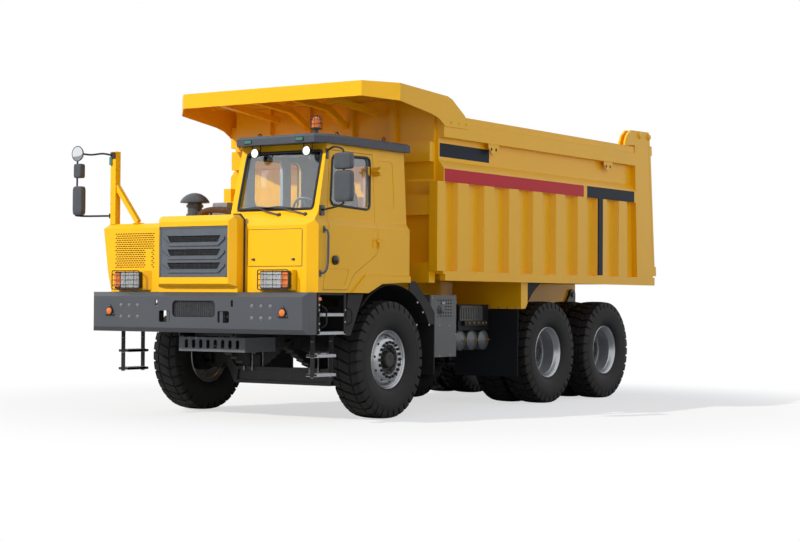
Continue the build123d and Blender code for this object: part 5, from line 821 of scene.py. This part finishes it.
for foot_x, foot_z in ((4.215, 2.331), (4.287, 1.804)):
    shapes.append(prism(rectangle((foot_x - 0.020, foot_z - 0.042), (foot_x + 0.020, foot_z + 0.042), 0.014),
                        "Y", 1.698, 1.708))
    for bolt_z in (-0.028, 0.028):
        shapes.append(dome((foot_x, 1.708, foot_z + bolt_z), "Y", 0.008, 0.006, 1, 12))
piece("grab_bar", "chassis", [PLASTIC, ZINC], shapes)

# Wipers, lamps and beacon on the cab
# Two pressed steel wipers parked across the bottom of the windshield, two round work lamps and two marker
# lamps at the moulded visor, a caged amber beacon and three lifting eyes on the roof.

# glass-fibre plastic, moulded: dark grey, duller than the enamel and slightly wavy
ROOF = material("roof_plastic", "#4c5159", 0.46, ior=1.36, spread=0.06, spread_mm=120, bump=0.10, bump_mm=1.5,
                edge=0.006)
dress(ROOF, "roof_cap")
shapes = []
for pivot_y, blade_low, blade_high in ((1.080, 0.447, 0.985), (1.478, 0.792, 1.275)):
    middle = (blade_low + blade_high) / 2
    shapes.append(lathe([(0, 0.024), (0.022, 0.022), (0.030, 0.014), (0.031, 0.001)], (4.283, pivot_y, 2.515),
                        "X", 20))
    shapes.append(tube([(4.312, pivot_y, 2.515), (4.302, pivot_y - 0.16, 2.553), (4.276, middle, 2.612)],
                       [0.011, 0.009, 0.006], 8))
    shapes.append(prism([(blade_low, 2.594), (blade_high, 2.594), (blade_high, 2.602), (middle + 0.03, 2.622),
                         (middle - 0.03, 2.622), (blade_low, 2.602)], "X", 4.262, 4.276))
    shapes.append(box((4.250, blade_low, 2.588), (4.266, blade_high, 2.594)))
piece("wipers", "chassis", [PLASTIC], shapes, bevel=0.0015)
# the work lamps' lenses glow as painted light, the marker lenses only barely
LAMP_WHITE = lamp_glass("work_lamp_lens", "#f4f6f8", 0.55)
GREEN = lamp_glass("marker_lens", "#2f6f62", 0.05)
shapes = []
for lamp_y in (0.610, 1.404):
    centre = (4.145, lamp_y, 3.284)
    shapes.append(lathe([(-0.030, 0.001), (-0.030, 0.030), (-0.010, 0.048), (0.030, 0.061), (0.044, 0.061),
                         (0.044, 0.054), (0.038, 0.054)], centre, "X", 32, False, 0))
    shapes.append(dome((4.183, lamp_y, 3.284), "X", 0.0545, 0.008, 1, 32))
    shapes += [box((4.140, lamp_y - 0.066, 3.284), (4.160, lamp_y - 0.061, 3.381)),
               box((4.140, lamp_y + 0.061, 3.284), (4.160, lamp_y + 0.066, 3.381))]
for lamp_x, lamp_y in ((4.196, 0.516), (4.242, 1.345)):
    plate = rectangle((lamp_y - 0.062, 3.398), (lamp_y + 0.062, 3.450), 0.016)
    shapes += [prism(plate, "X", lamp_x - 0.03, lamp_x + 0.006, 0),
               prism(rectangle((lamp_y - 0.052, 3.406), (lamp_y + 0.052, 3.442), 0.012), "X", lamp_x,
                     lamp_x + 0.013, 2)]
piece("roof_lamps", "chassis", [GLOSS_BLACK, LAMP_WHITE, GREEN], shapes, bevel=0.0015)
BEACON_X, BEACON_Y = 3.800, 1.262
shapes = [lathe([(0, 0.075), (0.012, 0.075), (0.020, 0.030), (0.085, 0.028), (0.090, 0.062), (0.112, 0.062),
                 (0.114, 0.001)], (BEACON_X, BEACON_Y, 3.489), "Z", 32),
          lathe([(0.112, 0.054), (0.190, 0.052), (0.225, 0.042), (0.240, 0.024), (0.244, 0.001)],
                (BEACON_X, BEACON_Y, 3.489), "Z", 32, False, 1)]
wire = tube([(BEACON_X + 0.068, BEACON_Y, 3.575), (BEACON_X + 0.070, BEACON_Y, 3.700),
             (BEACON_X + 0.058, BEACON_Y, 3.738), (BEACON_X + 0.020, BEACON_Y, 3.752)], 0.0035, 6, 0, 3)
shapes += around(wire, (BEACON_X, BEACON_Y, 3.6), "Z", 6, 0.3)
angle = np.linspace(0, 2 * np.pi, 33)
for ring_z, ring_radius in ((3.590, 0.069), (3.650, 0.071), (3.700, 0.070), (3.752, 0.020)):
    ring = (BEACON_X + ring_radius * np.cos(angle), BEACON_Y + ring_radius * np.sin(angle),
            np.full(33, ring_z))
    shapes.append(tube(np.column_stack(ring), 0.0035, 6))
angle = np.linspace(0, 2 * np.pi, 21)
for eye_x, eye_y in ((3.90, 0.459), (3.60, 1.429), (2.76, 1.550)):
    eye = (eye_x + 0.026 * np.cos(angle), np.full(21, eye_y), 3.528 + 0.026 * np.sin(angle))
    shapes += [tube(np.column_stack(eye), 0.008, 8),
               lathe([(0, 0.026), (0.012, 0.024), (0.014, 0.012)], (eye_x, eye_y, 3.488), "Z", 16, True)]
piece("beacon_and_eyes", "chassis", [GLOSS_BLACK, AMBER], shapes)

# Cab inside
# A sprung driver's seat with grey woven cloth over moulded foam, a red webbing belt, and a moulded dashboard
# with a grey rim steering wheel; a trim pillar parts the inner side window.

# foam under a moulded plastic skin: dull grey-blue with a leather grain
TRIM_PLASTIC = material("dash_plastic", "#5d6b79", 0.55, spread=0.06, spread_mm=90, bump=0.12, bump_mm=1.5,
                        edge=0.004)
dress(TRIM_PLASTIC, "dashboard")
# polyester cloth: dull dark grey, paler at its edges; the weave is drawn 3 mm coarse, so that it shows
CLOTH = material("seat_cloth", "#3b4048", 0.88, spread=0.10, spread_mm=30, bump=0.7, bump_mm=3.0)
CLOTH.node_tree.nodes["Principled BSDF"].inputs["Sheen Weight"].default_value = 0.3
SEAT_Y = 1.100


def rounded_form(power):
    """Rounded cube of half size 1: a sphere's coordinates on a grid of angles, raised to a power below 1."""
    theta = np.linspace(0.002, np.pi - 0.002, 41)[:, None]
    phi = np.linspace(0, 2 * np.pi, 64, endpoint=False)[None]
    ball = np.stack([np.sin(theta) * np.cos(phi), np.sin(theta) * np.sin(phi), np.cos(theta) + 0 * phi], -1)
    return np.sign(ball) * np.abs(ball) ** power


def cushion(centre, half, lean, seams):
    """Crowned closed form on a sphere's grid: each coordinate is the sphere's, raised to the power 0.4, which
    makes the faces nearly flat and the corners round; the sides pull in between the corners, and each seam is
    a shallow channel across. lean turns it about the Y axis."""
    form = rounded_form(0.4)
    crown = 1 + 0.10 * (1 - form[..., 0] ** 2) * (1 - form[..., 1] ** 2)
    waist = 1 - 0.03 * (1 - form[..., 2] ** 2)
    form = form * np.stack([waist, waist, crown], -1)
    for seam in seams:
        form[..., 2] -= np.sign(form[..., 2]) * 0.10 * np.exp(-((form[..., 1] - seam) / 0.035) ** 2)
    place = form * np.asarray(half)
    x = place[..., 0] * math.cos(lean) + place[..., 2] * math.sin(lean)
    z = -place[..., 0] * math.sin(lean) + place[..., 2] * math.cos(lean)
    return np.stack([centre[0] + x, centre[1] + place[..., 1], centre[2] + z], -1), True, 0


for name, x, z, half, lean, seams in (
        ("seat_base", 3.245, 2.225, (0.245, 0.232, 0.062), -0.03, (-0.55, 0.55)),
        ("seat_back", 3.005, 2.560, (0.330, 0.228, 0.062), -1.42, (-0.55, 0.55)),
        ("head_rest", 2.955, 2.900, (0.075, 0.130, 0.040), -1.45, ())):
    pad = piece(name, "chassis", [CLOTH], [cushion((x, SEAT_Y, z), half, lean, seams)],
                stands_for=["driver_seat"])
stand = rounded([(3.06, 1.77), (3.44, 1.77), (3.40, 2.17), (3.10, 2.17)], 0.03)
shapes = [prism(stand, "Y", SEAT_Y - 0.16, SEAT_Y + 0.16)]
shapes += [tube([(2.965, y, 2.80), (2.955, y, 2.90)], 0.007, 10) for y in (SEAT_Y - 0.05, SEAT_Y + 0.05)]
piece("seat_stand", "chassis", [BLACK_CAST], shapes, bevel=0.004, stands_for=["driver_seat"])
# polyester webbing, woven: dull red, its ribs drawn 2 mm coarse
BELT = material("belt_webbing", "#b5384e", 0.8, spread=0.06, spread_mm=20, bump=0.5, bump_mm=2)
shapes = [box((2.905, 1.440, 2.150), (2.909, 1.490, 3.120)),
          prism(rectangle((2.885, 3.085), (2.925, 3.165), 0.012), "Y", 1.430, 1.500)]
piece("seat_belt", "chassis", [BELT], shapes, smooth=False)
shapes = [prism(rectangle((3.120, 2.640), (3.290, 3.262), 0.020), "Y", 0.306, 0.356)]
# vinyl covered board: dull grey-blue
INNER_TRIM = material("trim_board", TRIM, 0.6, spread=0.05, spread_mm=120, bump=0.08, bump_mm=2, edge=0.004)
piece("window_pillar", "chassis", [INNER_TRIM], shapes, bevel=0.004)

# Mirrors and post on both sides
# A square tube post with a diagonal brace, welded and enamelled yellow, stands on the side housing. Its bent
# round arm carries two moulded mirrors and a round one; the left arm is clamped to the cab's pillar.
dress(YELLOW, "mirror_post")


def mirror_case(x, y, low, high, half_y):
    """Moulded mirror case from a height to another: a rounded form, flattened where the glass is let in."""
    form = rounded_form(0.28)
    place = form * np.array([0.052, half_y, (high - low) / 2])
    place[..., 0] = np.where(place[..., 0] < 0, place[..., 0] * 0.75, place[..., 0])
    return place + np.array([x, y, (low + high) / 2]), True, 0


LEFT_CASES = [(4.180, 1.965, 3.042, 3.238, 0.122), (4.180, 1.968, 2.655, 3.028, 0.124)]
RIGHT_CASES = [(4.560, -1.985, 2.566, 2.940, 0.082), (4.560, -1.985, 3.045, 3.231, 0.066)]
LEFT_ARM = [(4.046, 1.612, 3.275), (4.090, 1.680, 3.298), (4.150, 1.800, 3.315), (4.180, 1.900, 3.298),
            (4.180, 1.958, 3.240), (4.180, 1.962, 3.000), (4.180, 1.962, 2.680), (4.186, 1.930, 2.622),
            (4.195, 1.800, 2.588), (4.200, 1.665, 2.566)]
RIGHT_ARM = [(4.355, -1.620, 3.344), (4.400, -1.735, 3.364), (4.450, -1.890, 3.352), (4.515, -1.980, 3.362),
             (4.555, -2.015, 3.345), (4.560, -2.025, 3.250), (4.560, -2.028, 3.000), (4.560, -2.028, 2.620),
             (4.545, -2.015, 2.560), (4.330, -1.665, 2.560)]
for side_name, cases, arm in (("left", LEFT_CASES, LEFT_ARM), ("right", RIGHT_CASES, RIGHT_ARM)):
    shapes = [tube(arm, 0.0125, 12, 1, 5)]
    for case_x, case_y, low, high, half_y in cases:
        shapes.append(mirror_case(case_x, case_y, low, high, half_y))
        face = rectangle((case_y - half_y + 0.024, low + 0.026), (case_y + half_y - 0.024, high - 0.026),
                         0.022)
        shapes.append(prism(face, "X", case_x - 0.0405, case_x - 0.036, 2))
    if side_name == "right":
        shapes += [lathe([(-0.034, 0.001), (-0.030, 0.045), (-0.010, 0.092), (0.010, 0.102), (0.016, 0.100),
                          (0.016, 0.092)], (4.572, -2.003, 3.361), "X", 40, False, 0),
                   dome((4.584, -2.003, 3.361), "X", 0.093, 0.018, 2, 40),
                   prism(rectangle((-1.640, 3.300), (-1.560, 3.380), 0.010), "X", 4.3452, 4.357, 1),
                   prism(rectangle((4.270, 2.528), (4.350, 2.592), 0.010), "Y", -1.662, -1.6452, 1)]
    piece(f"mirrors_{side_name}", "chassis", [PLASTIC, GLOSS_BLACK, CHROME], shapes,
          stands_for=[f"{side_name}_mirrors"])
shapes = []
for x, y, z, half_x in ((4.045, 1.606, 3.250, 0.018), (4.200, 1.651, 2.560, 0.040)):
    shapes.append(prism(rectangle((x - half_x, z - 0.062), (x + half_x, z + 0.062), 0.010), "Y", y - 0.004,
                        y + 0.018, 0))
    for bolt_z in (-0.044, 0.044):
        shapes.append(dome((x, y + 0.018, z + bolt_z), "Y", 0.008, 0.007, 1, 12))
shapes.append(prism(rectangle((-1.655, 3.215), (-1.615, 3.320), 0.008), "X", 4.3445, 4.362, 2))
piece("mirror_clamps", "chassis", [GLOSS_BLACK, ZINC, GREEN], shapes, bevel=0.002)

# Intake and pipes behind the hood
# The engine's snorkel in black moulded plastic, with pressed steel charge pipes, hose clamps and an aluminium
# filter case between it and the cab.
dress(PLASTIC, "air_intake")
# cast aluminium, bare: pale grey metal with an uneven mirror
ALUMINIUM = material("cast_aluminium", "#9fa3a6", 0.45, metallic=0.8, spread=0.10, spread_mm=40, bump=0.15,
                     bump_mm=3)
# steel pipe, browned by heat: dull, in patches
RUST_BROWN = material("exhaust_pipe", "#5b4335", 0.62, metallic=0.3, spread=0.25, spread_mm=60, bump=0.15,
                      bump_mm=4)
case = rounded([(3.400, 2.420), (3.650, 2.420), (3.640, 2.735), (3.410, 2.735)], 0.030)
shapes = [prism(case, "Y", -0.520, -0.280),
          tube([(3.640, -0.730, 2.560), (3.600, -0.620, 2.580), (3.560, -0.540, 2.590),
                (3.540, -0.420, 2.600)], 0.055, 20, 1, 5),
          tube([(3.420, -0.400, 2.620), (3.330, -0.280, 2.640), (3.320, -0.060, 2.620), (3.420, 0.120, 2.560),
                (3.460, 0.180, 2.440)], 0.045, 20, 1, 5),
          tube([(3.860, -0.560, 2.430), (3.860, -0.540, 2.560), (3.840, -0.440, 2.620),
                (3.820, -0.250, 2.630), (3.820, -0.080, 2.600), (3.820, -0.020, 2.470)], 0.040, 20, 2, 5)]
for ring_y in (-0.655, -0.555):
    shapes.append(lathe([(-0.012, 0.056), (-0.012, 0.060), (0.012, 0.060), (0.012, 0.056)],
                        (3.605, ring_y, 2.580), "Y", 32, False, 3))
piece("charge_pipes", "chassis", [ALUMINIUM, BLACK_CAST, RUST_BROWN, ZINC], shapes, bevel=0.003)

# Steps and mudguards
# Bolted black sheet steel: a step case and a strap ladder below it, with zinc treads raised in rows of
# buttons, and inner mudguards with bolted edges. Grab loops of bent bar stand at the case's sides.

# powder coated sheet steel: near black and dull, dusty low down
GUARD = material("guard_sheet", "#15171b", 0.58, ior=1.4, spread=0.10, spread_mm=200, bump=0.10, bump_mm=5,
                 edge=0.004, dust=0.10, top_z=1.6)
dress(GUARD, "boarding_steps", "front_mudguards")
# sheet steel, dipped in zinc: pale grey metal with patches of 25 mm
TREAD = material("zinc_tread", "#b9bcbf", 0.42, metallic=0.75, spread=0.12, spread_mm=25, bump=0.4, bump_mm=4)
CASE_Y = 1.694
shapes = []
for low_x, high_x, low_y, high_y, top_z in (
        (3.755, 4.315, 1.560, CASE_Y, 1.1115), (3.755, 4.315, 1.560, CASE_Y, 1.3315),
        (3.825, 4.205, 1.440, 1.604, 0.6065), (3.825, 4.205, 1.440, 1.604, 0.8365)):
    shapes.append(box((low_x, low_y, top_z - 0.034), (high_x, high_y, top_z)))
    shapes += [dome((x, y, top_z), "Z", 0.010, 0.006, 0, 8)
               for x in np.linspace(low_x + 0.03, high_x - 0.03, 12)
               for y in np.linspace(low_y + 0.03, high_y - 0.03, 3)]
for bolt_x, bolt_z in ((4.289, 1.432), (4.288, 1.371), (4.286, 1.208), (4.285, 1.136), (3.763, 1.373),
                       (3.769, 1.226)):
    shapes += nut((bolt_x, CASE_Y - 0.004, bolt_z), "Y", 0.022, 0.008, stud=False)
for bolt_x, bolt_z in ((2.198, 1.467), (2.072, 1.340), (2.214, 1.179), (1.924, 1.176)):
    shapes += nut((bolt_x, 1.700, bolt_z), "Y", 0.024, 0.008, stud=False)
shapes += [dome((x, y, z), "X", 0.0055, 0.005, 0, 8) for x in (3.8362, 4.2062) for z in (0.992, 0.799, 0.560)
           for y in (1.515, 1.530, 1.545)]
cheek = [(3.700, 1.566), (3.375, 1.566), (3.640, 1.060), (3.752, 1.060)]
shapes += [prism(rectangle((4.255, 1.484), (4.312, 1.522), 0.010), "Y", CASE_Y, CASE_Y + 0.008, 1),
           prism(cheek, "Y", CASE_Y - 0.020, CASE_Y - 0.008, 2)]
shapes += [box((x - 0.020, CASE_Y - 0.018, 1.085), (x + 0.020, CASE_Y, 1.575), 2) for x in (3.772, 4.298)]
for x, low_z, high_z in ((4.240, 1.160, 1.420), (3.720, 1.190, 1.400)):
    middle = (low_z + high_z) / 2
    bow = ((0, 0, high_z), (0.030, 0.045, high_z - 0.04), (0.035, 0.048, middle),
           (0.030, 0.045, low_z + 0.04), (0, 0, low_z))
    shapes.append(tube([(x - back, CASE_Y - 0.004 + out, z) for back, out, z in bow], 0.010, 10, 2, 5))
for sign, side_name in SIDES:
    piece(f"treads_{side_name}", "chassis", [TREAD, AMBER, GUARD], on_side(sign, shapes))

# Axle bolts and skid guard
# Zinc plated U-bolts hold each front spring on the beam. The skid guard is folded grey sheet.

# machine paint on folded sheet: dull mid grey
SKID = material("skid_paint", "#5f6468", 0.50, spread=0.12, spread_mm=90, bump=0.15, bump_mm=5, edge=0.004,
                dust=0.12, top_z=1.3)
dress(SKID, "skid_guard")
shapes = []
for x, y in ((x, y) for x in (2.640, 2.860) for y in (0.475, 0.615)):
    shapes.append(lathe([(0, 0.011), (0.26, 0.011)], (x, y, 0.560), "Z", 12, True))
    shapes += nut((x, y, 0.575), "Z", 0.034, -0.024, stud=False)
piece("spring_bolts", "chassis", [ZINC], shapes + on_side(-1, shapes))

# Boxes and tanks on the frame
# The battery box is folded grey sheet with a pierced vent, rivets and a black isolator switch. Three spun
# steel air tanks with brass drain valves lie behind it, under a ribbed plastic case.

# tank enamel, sprayed: dark grey and satin, dusty low down
TANKS = material("tank_paint", "#3e4143", 0.40, coat=0.1, spread=0.08, spread_mm=200, bump=0.08, bump_mm=4,
                 edge=0.006, dust=0.15, top_z=1.4)
# machine enamel on folded sheet: mid grey and satin
BOX_GREY = material("box_grey", "#5a5e60", 0.48, coat=0.1, spread=0.05, spread_mm=200, bump=0.10, bump_mm=3,
                    edge=0.005, dust=0.10, top_z=1.5)
# spun steel under thin grey paint: a little of the metal's mirror shows
TANK_SPUN = material("spun_tank", "#656a6d", 0.36, metallic=0.4, spread=0.06, spread_mm=90, bump=0.03,
                     bump_mm=3, dust=0.10)
# brass, turned: warm yellow metal with a soft mirror
BRASS = material("brass", "#b58d3c", 0.30, metallic=1.0, spread=0.05, spread_mm=20)
dress(BOX_GREY, "battery_box")
dress(paint_over(TANK_SPUN, ("#25272a", (-1.0, 0.0, 1.0825), (1.0, 2.0, 1.6))), "air_tanks")
dress(TANKS, "fuel_tank")
FACE_Y = 1.600
# the vent's slots are thin black shapes laid on the face: painted shade of the hollow behind them
shapes = []
for column in range(6):
    for row in range(6):
        # the switch takes up the slots' place
        if column > 2 or row not in (1, 2, 3):
            x, z = 1.545 - 0.062 * column, 1.498 - 0.0420 * row
            slot = rectangle((x - 0.018, z - 0.009), (x + 0.018, z + 0.009), 0.006, 3)
            shapes.append(prism(slot, "Y", FACE_Y - 0.0005, FACE_Y + 0.0012))
for x, z in ((1.511, 1.162), (1.269, 1.160), (1.662, 1.025), (1.110, 1.036), (1.506, 0.758), (1.254, 0.764),
             (1.108, 1.473), (1.690, 1.530)):
    shapes.append(dome((x, FACE_Y, z), "Y", 0.013, 0.006, 1, 12))
shapes += [lathe([(0, 0.062), (0.012, 0.060), (0.020, 0.040), (0.034, 0.036), (0.040, 0.001)],
                 (1.500, FACE_Y, 1.372), "Y", 28, False, 2),
           prism(rectangle((1.440, 1.350), (1.540, 1.395), 0.012), "Y", FACE_Y, FACE_Y + 0.022, 2),
           prism(rounded([(1.475, 1.445), (1.400, 1.450), (1.400, 1.470), (1.475, 1.480)], 0.008), "Y",
                 FACE_Y + 0.004, FACE_Y + 0.018, 1)]
piece("battery_vent", "chassis", [DARK, ZINC, PLASTIC], shapes)
shapes = []
for tank_x in (0.434, 0.131, -0.172):
    shapes.append(lathe([(0, 0.022), (0.010, 0.020), (0.012, 0.012), (0.030, 0.012)], (tank_x, 1.2995, 0.943),
                        "Y", 16, True))
    shapes += nut((tank_x - 0.012, 1.326, 0.950), "Y", 0.022, 0.016)
    for strap_y in (0.78, 1.12):
        shapes.append(lathe([(-0.020, 0.1402), (-0.020, 0.1425), (0.020, 0.1425), (0.020, 0.1402)],
                            (tank_x, strap_y, 0.943), "Y", 64, False, 1))
case = rounded([(0.535, 1.215), (0.535, 1.380), (0.500, 1.425), (-0.040, 1.425), (-0.075, 1.380),
                (-0.075, 1.215)], 0.024)
shapes.append(prism(case, "Y", 1.278, 1.300, 2))
for rib in range(9):
    x = 0.490 - 0.065 * rib
    shapes.append(prism(rectangle((x - 0.009, 1.240), (x + 0.009, 1.400), 0.006), "Y", 1.299, 1.308, 2))
shapes.append(prism(rectangle((-0.140, 1.149), (0.430, 1.213), 0.012), "Y", 1.278, 1.320, 1))
for x in (0.34, 0.22, 0.10, -0.02, -0.11):
    shapes.append(lathe([(0, 0.014), (0.020, 0.014), (0.024, 0.008)], (x, 1.319, 1.183), "Y", 12, True, 0))
piece("tank_fittings", "chassis", [BRASS, BLACK_CAST, TANKS], shapes, bevel=0.002)

# Tipping bed
# Welded wear-resistant plate with folded ribs, in the same yellow enamel. Painted bands run along the sides;
# the wings under it end in black rubber flaps. The hoist stages are hard chromed.
RED_BAND, DARK_BAND = "#c93a42", "#1a2330"
BANDS = [(DARK_BAND, (0.464, 1.690, 3.380), (1.715, 1.900, 3.560)),
         (RED_BAND, (-2.125, 1.690, 3.050), (1.723, 1.900, 3.2215)),
         (DARK_BAND, (-3.800, 1.690, 3.050), (-2.227, 1.900, 3.2215)),
         (DARK_BAND, (-2.743, 1.785, 1.890), (-2.471, 1.900, 3.051))]
for sign, side_name in SIDES:
    bands = []
    for colour, low, high in BANDS:
        low_y, high_y = sorted((sign * low[1], sign * high[1]))
        bands.append((colour, (low[0], low_y, low[2]), (high[0], high_y, high[2])))
    dress(paint_over(enamel(f"bed_enamel_{side_name}"), *bands), f"bed_side_{side_name}")
dress(YELLOW, "bed_floor", "bed_front_wall", "canopy", "tailgate")
# the wings' lower part takes the black of the rubber flaps; their inner faces under the bed are painted near
# black: painted shade where the bed keeps the light off them
dress(paint_over(enamel("wing_enamel_and_painted_shade"), ("#26282c", (-2.0, -2.0, 0.2), (0.5, 2.0, 1.3815)),
                 ("#17181a", (-2.0, -1.725, 0.2), (-0.619, 1.725, 2.0))), "bed_wings")
# hard chrome, ground: a bright mirror, slightly blurred
HOIST = material("hoist_chrome", "#c9ccd0", 0.12, metallic=1.0, spread=0.04, spread_mm=60, bump=0.01,
                 bump_mm=2)
dress(HOIST, "hoist_stage_outer", "hoist_stage_inner", "hoist_rod")


def bar(points, half, number=0):
    """Square tube along a line in a plane across Y: four corners carried along the line's points."""
    path = np.asarray(points, float)
    run = np.gradient(path, axis=0)
    run /= np.linalg.norm(run, axis=1, keepdims=True)
    upward = np.cross(run, (0.0, 1.0, 0.0))
    corners = [(-1, -1), (1, -1), (1, 1), (-1, 1)]
    rows = [path + half * a * np.array([0, 1, 0]) + half * b * upward for a, b in corners]
    return np.stack(rows, 1), True, number


# struts from the canopy's front to the bed's wall, hook plates, bolts and caps
shapes = [bar([(x, y, z) for x, z in line], 0.038) for y, line in (
    (0.84, [(3.125, 4.090), (1.870, 3.970)]), (0.31, [(3.125, 4.100), (2.300, 4.040), (1.870, 3.830)]))]
shapes += [dome((x, 1.812, 3.836), "Y", 0.018, 0.012, 0, 16) for x in (1.584, 1.403, 1.216)]
shapes += [lathe([(0, 0.052), (0.012, 0.052), (0.016, 0.040), (0.030, 0.036)], (x, 1.8005, 4.117), "Y", 28,
                 True) for x in (-3.968, -4.287)]
HOOK_Y = 1.792
for hook_x in (0.462, -2.931):
    plate = [(hook_x + x, z) for x, z in ((0.142, 3.640), (-0.142, 3.640), (-0.142, 3.580), (-0.010, 3.490),
                                          (0.040, 3.490), (0.142, 3.580))]
    shapes.append(prism(rounded(plate, 0.018), "Y", HOOK_Y - 0.016, HOOK_Y))
    # a thin dark disc on each of the plate's two holes: painted shade of the hole
    shapes += [lathe([(0, 0.022), (0.002, 0.022)], (hook_x + x, HOOK_Y, 3.560), "Y", 20, True, 1)
               for x in (0.066, -0.056)]
shapes += on_side(-1, shapes)
shapes += [box((rib_x - 0.030, -1.700, 4.125), (rib_x + 0.030, 1.700, 4.192)) for rib_x in (2.25, 2.68)]
piece("bed_struts_and_hooks", "bed", [YELLOW, DARK], shapes, bevel=0.003)
shapes = [dome((-0.4352, y, 1.405), "X", 0.014, 0.009, 0, 12) for y in np.linspace(0.62, 1.64, 8)]
piece("wing_bolts", "bed", [ZINC], shapes + on_side(-1, shapes))
